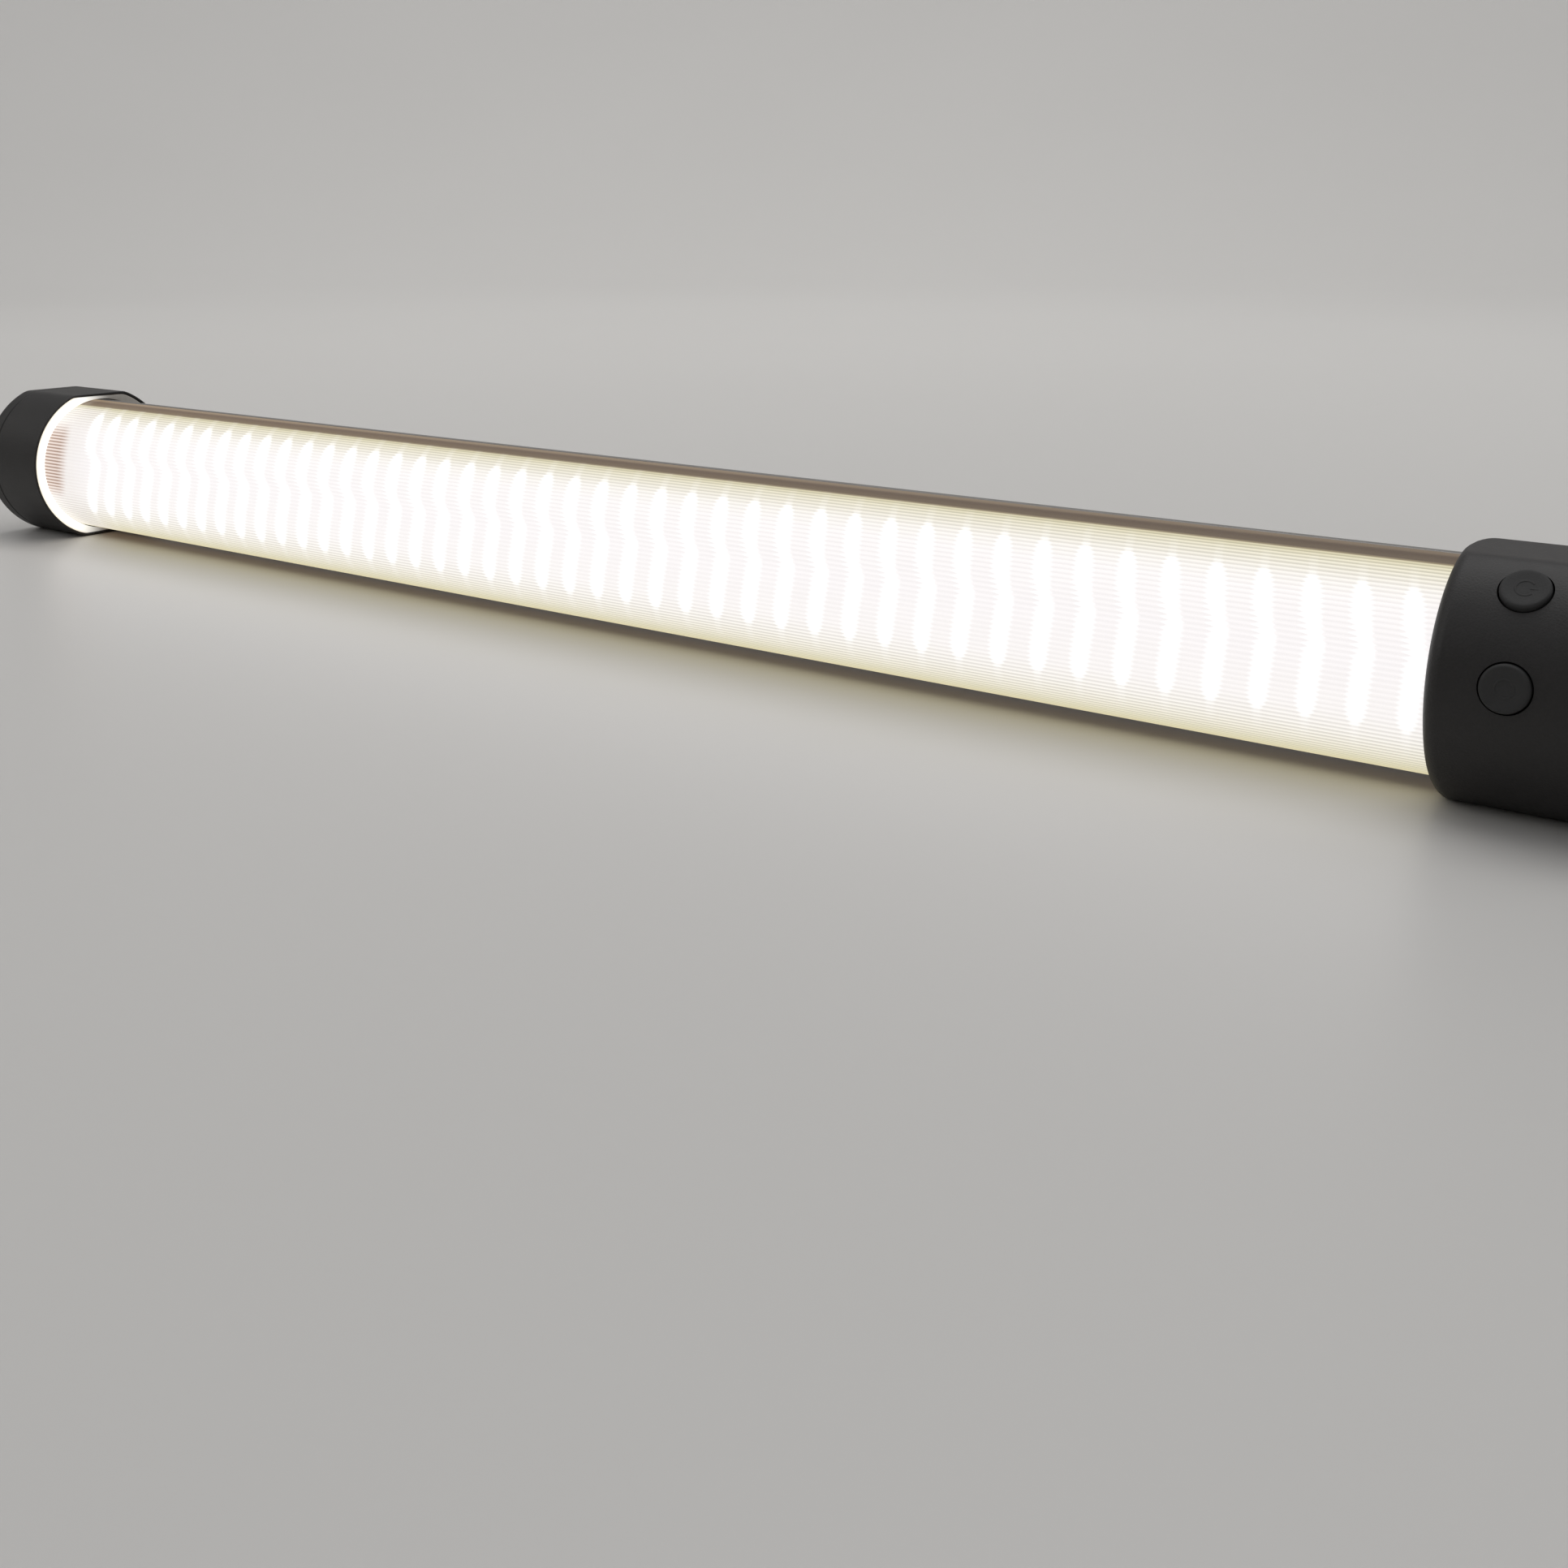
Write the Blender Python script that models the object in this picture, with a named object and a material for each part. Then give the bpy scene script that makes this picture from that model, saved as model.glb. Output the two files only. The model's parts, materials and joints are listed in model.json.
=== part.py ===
"""Hand-held LED light tube, lying on its side with the diffuser facing -Y.

Frame: X runs along the tube towards the control end, Z is up, and the origin is on the
resting surface under the middle of the tube. Sections are drawn as (y, z) about the tube's
axis. A distance called a station is measured from a cap's rim towards that cap's outer end,
so a negative station lies inside the lit window.
"""

import math

import bmesh
import bpy

MM = 0.001
GAP = 0.3 * MM

# Driving sizes of the whole object
TUBE_RADIUS = 22.0 * MM
CAP_RADIUS = 26.0 * MM
FLAT_DISTANCE = 24.2 * MM
WINDOW_LENGTH = 453.0 * MM
CONTROL_CAP_LENGTH = 50.0 * MM
FAR_CAP_LENGTH = 31.0 * MM
SOCKET_DEPTH = 5.0 * MM
LED_COUNT = 45
LED_PITCH = 10.0 * MM

# Places along the tube
OVERALL_LENGTH = FAR_CAP_LENGTH + WINDOW_LENGTH + CONTROL_CAP_LENGTH
FAR_RIM_X = FAR_CAP_LENGTH - OVERALL_LENGTH / 2
NEAR_RIM_X = FAR_RIM_X + WINDOW_LENGTH
TUBE_FAR_X = FAR_RIM_X - SOCKET_DEPTH
TUBE_NEAR_X = NEAR_RIM_X + SOCKET_DEPTH
WINDOW_MIDDLE_X = (FAR_RIM_X + NEAR_RIM_X) / 2
NEAR = 1
FAR = -1

# Rear housing
HOUSING_WALL = 2.0 * MM
SEAM_Y = GAP
COOLING_GROOVES = 7
GROOVE_SPACING_DEG = 9.0
GROOVE_HALF_DEG = 1.4
GROOVE_DEPTH = 0.6 * MM
SKIN_STEP_DEG = 5.0
SCREW_Y = 9.0 * MM
SCREW_Z = 15.5 * MM
CHANNEL_RADIUS = 1.6 * MM
CHANNEL_OUTER_RADIUS = 3.2 * MM
CHANNEL_SLOT_HALF = 0.9 * MM

# LED board and the slots that hold it
BOARD_THICKNESS = 1.6 * MM
BOARD_HALF_WIDTH = 17.7 * MM
BOARD_Y = -1.5 * MM
BOARD_FRONT_Y = BOARD_Y - BOARD_THICKNESS / 2
BOARD_BACK_Y = BOARD_Y + BOARD_THICKNESS / 2
SLOT_LIP = 1.1 * MM
SLOT_LIP_REACH = 1.4 * MM
SHELF_THICKNESS = 1.6 * MM
SHELF_REACH = 2.1 * MM
GUSSET_RUN = 1.5 * MM
TONGUE_GROOVE_SPARE = 0.5 * MM
LED_ROW_Z = 6.6 * MM
LED_SIZE = (3.5 * MM, 0.8 * MM, 2.8 * MM)
LED_STRIP_THICKNESS = 0.15 * MM

# Diffuser
DIFFUSER_WALL = 1.6 * MM
RIB_COUNT = 51
RIB_DEPTH = 0.35 * MM
RIBBED_HALF_DEG = 72.1
LIP_STEP_DEG = 4.5
LIP_END_DEG = 86.0
INNER_STEP_DEG = 5.0
INNER_HALF_DEG = 80.0
TONGUE_FRONT_Y = -0.7 * MM
TONGUE_OUTER_Z = 20.7 * MM
TONGUE_THICKNESS = 1.0 * MM
TONGUE_REACH = 2.3 * MM

# End caps and their seals
BORE_RADIUS = TUBE_RADIUS + GAP
END_WALL = 3.0 * MM
END_FILLET = 3.0 * MM
FILLET_STEPS = 3
RIM_LIP = 0.7 * MM
RIM_ROUNDING = 3.0 * MM
SEAL_THICKNESS = 1.5 * MM
POST_RADIUS = 4.8 * MM
SCREW_SEAT_STATION = 16.0 * MM
SCREW_HOLE_RADIUS = 1.7 * MM
COUNTERBORE_RADIUS = 3.3 * MM
OVERCUT = 1.0 * MM

# Socket-head cap screws; stations as on the caps
SCREW_TIP_STATION = -5.0 * MM
SCREW_TIP_LENGTH = 0.7 * MM
SCREW_TIP_RADIUS = 0.8 * MM
SCREW_RADIUS = 1.3 * MM
HEAD_RADIUS = 2.8 * MM
HEAD_HEIGHT = 2.5 * MM
HEAD_BEVEL = 0.5 * MM
DRIVE_RADIUS = 1.4 * MM
DRIVE_DEPTH = 1.5 * MM

# Tripod insert
INSERT_RADIUS = 6.0 * MM
INSERT_LENGTH = 12.0 * MM
INSERT_BORE_RADIUS = 3.2 * MM
INSERT_BORE_DEPTH = 9.5 * MM
INSERT_BOSS_RADIUS = 9.5 * MM
INSERT_BOSS_DEPTH = 15.0 * MM
INSERT_NECK_START = 5.0 * MM
INSERT_NECK_END = 8.0 * MM
INSERT_NECK_INSET = 0.6 * MM
INSERT_NECK_SLOPE = 0.5 * MM

# Push buttons and what is under them; heights are distances from the tube's axis
POWER_BUTTON_DEG = 50.0
MODE_BUTTON_DEG = 8.0
BUTTON_STATION = 14.5 * MM
BUTTON_RADIUS = 4.5 * MM
BUTTON_FLANGE_RADIUS = 5.5 * MM
BUTTON_FLANGE_BOTTOM = 20.3 * MM
BUTTON_FLANGE_TOP = 21.3 * MM
BUTTON_EDGE = 26.3 * MM
BUTTON_TOP = 26.8 * MM
BUTTON_CLEARANCE = 0.35 * MM
CROWN_SHOULDER_DROP = 0.15 * MM
CROWN_SHOULDER_INSET = 0.5 * MM
CROWN_TOP_INSET = 2.0 * MM
SWITCH_BOTTOM = 16.0 * MM
SWITCH_BODY_TOP = 18.8 * MM
SWITCH_TOP = 19.5 * MM
SWITCH_HALF_WIDTH = 3.0 * MM
SWITCH_PLUNGER_RADIUS = 1.7 * MM
CARRIER_TOP = SWITCH_BOTTOM - GAP
CARRIER_THICKNESS = 3.0 * MM
CARRIER_HALF_FACET = 4.2 * MM
CARRIER_START_STATION = 8.0 * MM

# Charging socket, its board and its light
CHARGE_BOARD_Y = 8.6 * MM
CHARGE_BOARD_HALF_WIDTH = 10.2 * MM
CHARGE_BOARD_START_STATION = 20.0 * MM
CAP_INSIDE_END_STATION = CONTROL_CAP_LENGTH - END_WALL - GAP
USB_HALF_WIDTH = 4.47 * MM
USB_HALF_HEIGHT = 1.63 * MM
USB_WALL = 0.3 * MM
USB_LENGTH = 7.3 * MM
USB_MOUTH_STATION = CONTROL_CAP_LENGTH - GAP
USB_Y = CHARGE_BOARD_Y - GAP - USB_HALF_HEIGHT
TONGUE_HALF_SIZE = (2.3 * MM, 0.35 * MM, 3.35 * MM)
INDICATOR_RADIUS = 1.2 * MM
INDICATOR_Z = 8.2 * MM
INDICATOR_LENGTH = 6.0 * MM
INDICATOR_RECESS = 0.1 * MM

# Battery pack
CELL_COUNT = 4
CELL_RADIUS = 9.2 * MM
CELL_LENGTH = 65.2 * MM
CELL_Y = 9.0 * MM
CELL_BEVEL = 0.6 * MM
NIPPLE_RADIUS = 3.2 * MM
NIPPLE_TOP_RADIUS = 3.0 * MM
NIPPLE_HEIGHT = 1.8 * MM
TAB_THICKNESS = 0.4 * MM
TAB_HALF_WIDTH = 4.0 * MM
PACK_INSET = 8.0 * MM
PACK_START_X = TUBE_FAR_X + PACK_INSET
END_PAD_THICKNESS = 4.0 * MM
TAB_SPACE = TAB_THICKNESS + 2 * GAP
FIRST_CELL_X = PACK_START_X + END_PAD_THICKNESS + TAB_SPACE
CELL_PITCH = CELL_LENGTH + TAB_SPACE
PACK_END_X = FIRST_CELL_X + CELL_COUNT * CELL_PITCH + END_PAD_THICKNESS
CRADLE_WALL = 1.0 * MM
CRADLE_HALF_DEG = 100.0

# Driver electronics
BATTERY_LEAD_RUN = 20.0 * MM
DRIVER_START_X = PACK_END_X + BATTERY_LEAD_RUN
DRIVER_LENGTH = 110.0 * MM
DRIVER_END_X = DRIVER_START_X + DRIVER_LENGTH
DRIVER_HALF_WIDTH = 11.5 * MM
DRIVER_Y = 3.0 * MM
DRIVER_TOP_Y = DRIVER_Y + BOARD_THICKNESS
DRIVER_PAD_LENGTH = 20.0 * MM
DRIVER_PAD_WIDTH = 16.0 * MM
DRIVER_PAD_INSET = 8.0 * MM
INDUCTOR_OFFSET = 22.0 * MM
INDUCTOR_HALF_WIDTH = 6.0 * MM
INDUCTOR_BODY_HEIGHT = 5.5 * MM
INDUCTOR_HEIGHT = 6.8 * MM
INDUCTOR_CORE_RADIUS = 4.8 * MM
CAPACITOR_OFFSET = 40.0 * MM
CAPACITOR_RADIUS = 4.0 * MM
CAPACITOR_LENGTH = 12.0 * MM
CAPACITOR_Z = 5.0 * MM
CRIMP_START = 1.6 * MM
CRIMP_WAIST = 1.0 * MM
CRIMP_END = 0.4 * MM
CRIMP_DEPTH = 0.4 * MM
CHIP_THICKNESS = 1.2 * MM
LED_LEAD_RUN = 14.0 * MM
CONNECTOR_START_X = DRIVER_END_X + LED_LEAD_RUN
CONNECTOR_Z = -8.0 * MM
CONNECTOR_LENGTH = 6.0 * MM
CONNECTOR_HEIGHT = 3.0 * MM
CONNECTOR_HALF_WIDTH = 3.0 * MM
WIRE_RADIUS = 0.7 * MM
WIRE_SPACING = 3.2 * MM
WIRE_STEPS = 8
CABLE_HALF_WIDTH = 4.0 * MM
CABLE_HALF_THICKNESS = 0.3 * MM
CABLE_Z = 2.0 * MM
CABLE_STEPS = 14

# Chips on the driver board: distance from its far edge, length, width
DRIVER_CHIPS = {
    "power_stage_chip": (62.0 * MM, 5.0 * MM, 6.0 * MM),
    "controller_chip": (76.0 * MM, 7.0 * MM, 7.0 * MM),
    "charger_chip": (92.0 * MM, 5.0 * MM, 4.0 * MM),
}

# Finishes: base colour, roughness, metallic
FINISHES = {
    "satin_aluminium": ((0.42, 0.41, 0.40), 0.38, 1.0),
    "frosted_diffuser": ((0.96, 0.94, 0.90), 0.45, 0.0),
    "black_plastic": ((0.020, 0.018, 0.018), 0.50, 0.0),
    "grey_plastic": ((0.22, 0.22, 0.23), 0.55, 0.0),
    "white_board": ((0.88, 0.88, 0.85), 0.50, 0.0),
    "green_board": ((0.03, 0.19, 0.09), 0.45, 0.0),
    "led_phosphor": ((0.95, 0.80, 0.35), 0.40, 0.0),
    "white_silicone": ((0.88, 0.87, 0.84), 0.60, 0.0),
    "black_rubber": ((0.035, 0.035, 0.035), 0.75, 0.0),
    "cell_sleeve": ((0.10, 0.34, 0.42), 0.35, 0.0),
    "nickel": ((0.70, 0.68, 0.64), 0.30, 1.0),
    "steel": ((0.55, 0.55, 0.56), 0.30, 1.0),
    "brass": ((0.78, 0.58, 0.26), 0.32, 1.0),
    "foam": ((0.10, 0.10, 0.11), 0.95, 0.0),
    "chip_epoxy": ((0.03, 0.03, 0.035), 0.60, 0.0),
    "ferrite": ((0.16, 0.15, 0.15), 0.70, 0.0),
    "capacitor_sleeve": ((0.05, 0.08, 0.20), 0.35, 0.0),
    "red_wire": ((0.55, 0.04, 0.03), 0.45, 0.0),
    "cable_grey": ((0.45, 0.46, 0.48), 0.50, 0.0),
    "cream_plastic": ((0.85, 0.80, 0.66), 0.45, 0.0),
    "clear_plastic": ((0.85, 0.90, 0.92), 0.15, 0.0),
}

CIRCLE_STEPS = 72
SMALL_CIRCLE_STEPS = 24
SCREW_STEPS = 12
SQUARE_STEPS = 16
SHARP_ANGLE = math.radians(32)


# ---------------------------------------------------------------- scene and finishes


def clear_scene():
    for old in list(bpy.data.objects):
        bpy.data.objects.remove(old, do_unlink=True)


def finish(name):
    """The Principled material of this name, made on first use."""
    found = bpy.data.materials.get(name)
    if found:
        return found
    colour, roughness, metallic = FINISHES[name]
    made = bpy.data.materials.new(name)
    made.use_nodes = True
    shader = made.node_tree.nodes["Principled BSDF"]
    shader.inputs["Base Color"].default_value = (*colour, 1.0)
    shader.inputs["Roughness"].default_value = roughness
    shader.inputs["Metallic"].default_value = metallic
    made.diffuse_color = (*colour, 1.0)
    return made


def make_axis():
    """The empty on the tube's axis that every piece is parented to."""
    axis = bpy.data.objects.new("tube_axis", None)
    axis.location = (0.0, 0.0, FLAT_DISTANCE)
    bpy.context.scene.collection.objects.link(axis)
    return axis


def place(name, bm, look, location=(0.0, 0.0, 0.0), turn_about_x=0.0):
    """Turns a bmesh into a named object on the tube's axis."""
    bmesh.ops.recalc_face_normals(bm, faces=bm.faces)
    mesh = bpy.data.meshes.new(name)
    bm.to_mesh(mesh)
    bm.free()
    mesh.shade_smooth()
    mesh.set_sharp_from_angle(angle=SHARP_ANGLE)
    mesh.materials.append(finish(look))
    made = bpy.data.objects.new(name, mesh)
    made.location = location
    made.rotation_euler = (turn_about_x, 0.0, 0.0)
    made.parent = bpy.data.objects["tube_axis"]
    bpy.context.scene.collection.objects.link(made)
    return made


def apply_boolean(target, tool, operation):
    """Adds a Boolean to target, with tool kept as a hidden guide."""
    modifier = target.modifiers.new(tool.name, "BOOLEAN")
    modifier.operation = operation
    modifier.solver = "EXACT"
    modifier.object = tool
    tool.hide_render = True
    tool.display_type = "WIRE"


# ---------------------------------------------------------------- sections and solids


def polar(radius, degrees, centre=(0.0, 0.0)):
    angle = math.radians(degrees)
    return (centre[0] + radius * math.cos(angle), centre[1] + radius * math.sin(angle))


def arc(radius, start_deg, end_deg, steps, centre=(0.0, 0.0)):
    """Points from start to end, both included."""
    span = end_deg - start_deg
    return [polar(radius, start_deg + span * i / steps, centre) for i in range(steps + 1)]


def circle(radius, steps=SMALL_CIRCLE_STEPS, centre=(0.0, 0.0)):
    return [polar(radius, 360.0 * i / steps, centre) for i in range(steps)]


def flatted_circle(radius, flat_distance):
    """A circle whose top and bottom are cut off flat."""
    points = circle(radius, CIRCLE_STEPS)
    return [(y, max(-flat_distance, min(flat_distance, z))) for y, z in points]


def square(half_width, steps=SQUARE_STEPS):
    """A square with as many points as a circle of that many steps."""
    points = circle(1.0, steps)
    return [(half_width * u / max(abs(u), abs(v)), half_width * v / max(abs(u), abs(v))) for u, v in points]


def slot(half_width, half_height, y_centre, steps=8):
    """A slot with round ends, long in z."""
    reach = half_width - half_height
    upper = arc(half_height, 0.0, 180.0, steps, (y_centre, reach))
    lower = arc(half_height, 180.0, 360.0, steps, (y_centre, -reach))
    return upper + lower


def add_loft(bm, rings, closed=False):
    """Skins a list of rings of 3D points; open ends get a flat face."""
    loops = [[bm.verts.new(point) for point in ring] for ring in rings]
    pairs = list(zip(loops, loops[1:]))
    if closed:
        pairs.append((loops[-1], loops[0]))
    for first, second in pairs:
        count = len(first)
        for i in range(count):
            j = (i + 1) % count
            bm.faces.new((first[i], first[j], second[j], second[i]))
    if not closed:
        bm.faces.new(loops[0])
        bm.faces.new(loops[-1])


def along_x(x, section):
    return [(x, y, z) for y, z in section]


def along_z(height, section):
    return [(u, v, height) for u, v in section]


def prism(name, section, start_x, end_x, look):
    """A section run straight along the tube."""
    bm = bmesh.new()
    add_loft(bm, [along_x(start_x, section), along_x(end_x, section)])
    return place(name, bm, look)


def stepped_bar(name, stages, look):
    """A solid along X through the given (x, section) stages."""
    bm = bmesh.new()
    add_loft(bm, [along_x(x, section) for x, section in stages])
    return place(name, bm, look)


def add_block(bm, low, high):
    corners = [(low[1], low[2]), (high[1], low[2]), (high[1], high[2]), (low[1], high[2])]
    add_loft(bm, [along_x(low[0], corners), along_x(high[0], corners)])


def block(name, low, high, look):
    bm = bmesh.new()
    add_block(bm, low, high)
    return place(name, bm, look)


def smooth_path(start, end, steps=10):
    """An S-shaped run in the XY plane from start to end, level at both ends."""
    points = []
    for i in range(steps + 1):
        t = i / steps
        ease = t * t * (3.0 - 2.0 * t)
        points.append((start[0] + (end[0] - start[0]) * t, start[1] + (end[1] - start[1]) * ease))
    return points


def add_sweep(bm, path, section, z):
    """Sweeps a (sideways, up) section along a path that stays in a level plane."""
    rings = []
    for i, (x, y) in enumerate(path):
        before = path[max(i - 1, 0)]
        after = path[min(i + 1, len(path) - 1)]
        run = math.hypot(after[0] - before[0], after[1] - before[1])
        side_x = -(after[1] - before[1]) / run
        side_y = (after[0] - before[0]) / run
        rings.append([(x + side_x * s, y + side_y * s, z + up) for s, up in section])
    add_loft(bm, rings)


def station_x(end, station):
    """The x of a station on the near or the far cap."""
    rim = NEAR_RIM_X if end == NEAR else FAR_RIM_X
    return rim + end * station


# ---------------------------------------------------------------- housing and diffuser


def housing_back():
    """The outer skin from the top seam over the back to the bottom seam, with its grooves."""
    seam_deg = math.degrees(math.acos(SEAM_Y / TUBE_RADIUS))
    points = []
    angle = seam_deg
    for i in range(COOLING_GROOVES):
        groove = GROOVE_SPACING_DEG * ((COOLING_GROOVES - 1) / 2 - i)
        steps = max(1, round((angle - groove) / SKIN_STEP_DEG))
        points += arc(TUBE_RADIUS, angle, groove + GROOVE_HALF_DEG, steps)
        points.append(polar(TUBE_RADIUS - GROOVE_DEPTH, groove + GROOVE_HALF_DEG))
        points.append(polar(TUBE_RADIUS - GROOVE_DEPTH, groove - GROOVE_HALF_DEG))
        angle = groove - GROOVE_HALF_DEG
    points += arc(TUBE_RADIUS, angle, -seam_deg, round((angle + seam_deg) / SKIN_STEP_DEG))
    return points


def screw_channel():
    """The upper screw channel's outline, and the two inner-wall angles where it starts and ends."""
    centre = (SCREW_Y, SCREW_Z)
    inner = TUBE_RADIUS - HOUSING_WALL
    distance = math.hypot(*centre)
    facing = math.degrees(math.atan2(SCREW_Z, SCREW_Y))
    cosine = (distance**2 + inner**2 - CHANNEL_OUTER_RADIUS**2) / (2 * distance * inner)
    spread = math.degrees(math.acos(cosine))
    meet = polar(inner, facing - spread)
    side = math.degrees(math.atan2(meet[1] - SCREW_Z, meet[0] - SCREW_Y)) - facing
    mouth_outside = 180.0 - math.degrees(math.asin(CHANNEL_SLOT_HALF / CHANNEL_OUTER_RADIUS))
    mouth_inside = 180.0 - math.degrees(math.asin(CHANNEL_SLOT_HALF / CHANNEL_RADIUS))
    points = arc(CHANNEL_OUTER_RADIUS, facing + side, facing - mouth_outside, 4, centre)
    points += arc(CHANNEL_RADIUS, facing - mouth_inside, facing + mouth_inside, 12, centre)
    points += arc(CHANNEL_OUTER_RADIUS, facing + mouth_outside, facing - side, 4, centre)
    return points[1:-1], facing - spread, facing + spread


def board_slot_and_groove():
    """From the inner wall out to the seam: shelf, board slot, its front lip, diffuser groove."""
    edge_z = BOARD_HALF_WIDTH + GAP
    slot_back = BOARD_BACK_Y + GAP
    slot_front = BOARD_FRONT_Y - GAP
    shelf_back = slot_back + SHELF_THICKNESS
    groove_inner = TONGUE_OUTER_Z - TONGUE_THICKNESS - GAP
    groove_outer = TONGUE_OUTER_Z + GAP
    groove_bottom = TONGUE_REACH + TONGUE_GROOVE_SPARE
    gusset_y = groove_bottom + GUSSET_RUN
    return [
        (gusset_y, edge_z - GAP / 2),
        (shelf_back, edge_z - SHELF_REACH),
        (slot_back, edge_z - SHELF_REACH),
        (slot_back, edge_z),
        (slot_front, edge_z),
        (slot_front, edge_z - SLOT_LIP_REACH),
        (slot_front - SLOT_LIP, edge_z - SLOT_LIP_REACH),
        (slot_front - SLOT_LIP, groove_inner),
        (groove_bottom, groove_inner),
        (groove_bottom, groove_outer),
        (SEAM_Y, groove_outer),
    ], gusset_y


def mirrored(points):
    """The same outline below the axis, walked the other way."""
    return [(y, -z) for y, z in reversed(points)]


def make_rear_housing():
    inner = TUBE_RADIUS - HOUSING_WALL
    channel, channel_start, channel_end = screw_channel()
    rail, gusset_y = board_slot_and_groove()
    wall_end = math.degrees(math.acos(gusset_y / inner))
    upper = arc(inner, 0.0, channel_start, 8)
    upper += channel
    upper += arc(inner, channel_end, wall_end, 2)
    upper += rail
    section = housing_back() + mirrored(upper)[:-1] + upper
    return prism("rear_housing", section, TUBE_FAR_X, TUBE_NEAR_X, "satin_aluminium")


def facing_front(radius, degrees):
    """A point at this angle from straight ahead (-Y) towards the top."""
    angle = math.radians(degrees)
    return (-radius * math.cos(angle), radius * math.sin(angle))


def make_diffuser():
    ribs = []
    pitch = 2 * RIBBED_HALF_DEG / RIB_COUNT
    for i in range(RIB_COUNT):
        valley = -RIBBED_HALF_DEG + pitch * i
        ribs.append(facing_front(TUBE_RADIUS - RIB_DEPTH, valley))
        ribs.append(facing_front(TUBE_RADIUS, valley + pitch / 2))
    ribs.append(facing_front(TUBE_RADIUS - RIB_DEPTH, RIBBED_HALF_DEG))
    lip_steps = round((LIP_END_DEG - RIBBED_HALF_DEG) / LIP_STEP_DEG)
    lip_step = (LIP_END_DEG - RIBBED_HALF_DEG) / lip_steps
    lip = [facing_front(TUBE_RADIUS, RIBBED_HALF_DEG + lip_step * (i + 1)) for i in range(lip_steps)]
    tongue_inner = TONGUE_OUTER_Z - TONGUE_THICKNESS
    edge = [
        (0.0, TUBE_RADIUS),
        (0.0, TONGUE_OUTER_Z),
        (TONGUE_REACH, TONGUE_OUTER_Z),
        (TONGUE_REACH, tongue_inner),
        (TONGUE_FRONT_Y, tongue_inner),
    ]
    inner_radius = TUBE_RADIUS - DIFFUSER_WALL
    inner_steps = round(2 * INNER_HALF_DEG / INNER_STEP_DEG)
    inside = [
        facing_front(inner_radius, INNER_HALF_DEG - INNER_STEP_DEG * i) for i in range(inner_steps + 1)
    ]
    upper = lip + edge
    section = ribs + upper + inside + mirrored(upper)
    return prism("diffuser", section, TUBE_FAR_X, TUBE_NEAR_X, "frosted_diffuser")


# ---------------------------------------------------------------- LED board


def make_led_board():
    low = (TUBE_FAR_X + GAP, BOARD_FRONT_Y, -BOARD_HALF_WIDTH)
    high = (TUBE_NEAR_X - GAP, BOARD_BACK_Y, BOARD_HALF_WIDTH)
    return block("led_board", low, high, "white_board")


def make_led_row(name, row_z):
    """A solder strip that carries one row of LED packages, as a single battlemented outline."""
    length, height, width = LED_SIZE
    back = BOARD_FRONT_Y - GAP
    strip = back - LED_STRIP_THICKNESS
    half_run = LED_PITCH * LED_COUNT / 2
    outline = [(WINDOW_MIDDLE_X + half_run, back), (WINDOW_MIDDLE_X - half_run, back)]
    outline.append((WINDOW_MIDDLE_X - half_run, strip))
    for i in range(LED_COUNT):
        x = WINDOW_MIDDLE_X + LED_PITCH * (i - (LED_COUNT - 1) / 2)
        outline += [(x - length / 2, strip), (x - length / 2, back - height)]
        outline += [(x + length / 2, back - height), (x + length / 2, strip)]
    outline.append((WINDOW_MIDDLE_X + half_run, strip))
    bm = bmesh.new()
    add_loft(bm, [along_z(row_z - width / 2, outline), along_z(row_z + width / 2, outline)])
    return place(name, bm, "led_phosphor")


def make_led_connector():
    foot = BOARD_BACK_Y + GAP
    low = (CONNECTOR_START_X, foot, CONNECTOR_Z - CONNECTOR_HALF_WIDTH)
    high = (
        CONNECTOR_START_X + CONNECTOR_LENGTH,
        foot + CONNECTOR_HEIGHT,
        CONNECTOR_Z + CONNECTOR_HALF_WIDTH,
    )
    return block("led_connector", low, high, "cream_plastic")


def make_wire_pair(name, start, end, z_centre):
    """A plus and a minus wire, side by side."""
    for sign, side, look in (("plus", 1, "red_wire"), ("minus", -1, "black_plastic")):
        bm = bmesh.new()
        wire_z = z_centre + side * WIRE_SPACING / 2
        add_sweep(bm, smooth_path(start, end), circle(WIRE_RADIUS, WIRE_STEPS), wire_z)
        place(f"{name}_{sign}", bm, look)


def make_led_leads():
    start = (DRIVER_END_X + GAP, DRIVER_Y + BOARD_THICKNESS / 2)
    end = (CONNECTOR_START_X - GAP, BOARD_BACK_Y + GAP + CONNECTOR_HEIGHT / 2)
    make_wire_pair("led_lead", start, end, CONNECTOR_Z)


# ---------------------------------------------------------------- battery pack


def make_cell(index):
    start = FIRST_CELL_X + CELL_PITCH * index
    end = start + CELL_LENGTH
    centre = (CELL_Y, 0.0)

    def at(radius):
        return circle(radius, SMALL_CIRCLE_STEPS, centre)

    shoulder = end - NIPPLE_HEIGHT
    stages = [
        (start, at(CELL_RADIUS - CELL_BEVEL)),
        (start + CELL_BEVEL, at(CELL_RADIUS)),
        (shoulder - CELL_BEVEL, at(CELL_RADIUS)),
        (shoulder, at(CELL_RADIUS - CELL_BEVEL)),
        (shoulder, at(NIPPLE_RADIUS)),
        (end, at(NIPPLE_TOP_RADIUS)),
    ]
    return stepped_bar(f"battery_cell_{index + 1}", stages, "cell_sleeve")


def make_cradle():
    inner = CELL_RADIUS + GAP
    outer = inner + CRADLE_WALL
    centre = (CELL_Y, 0.0)
    section = arc(outer, -CRADLE_HALF_DEG, CRADLE_HALF_DEG, 24, centre)
    section += arc(inner, CRADLE_HALF_DEG, -CRADLE_HALF_DEG, 24, centre)
    return prism("battery_cradle", section, PACK_START_X, PACK_END_X, "black_plastic")


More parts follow.
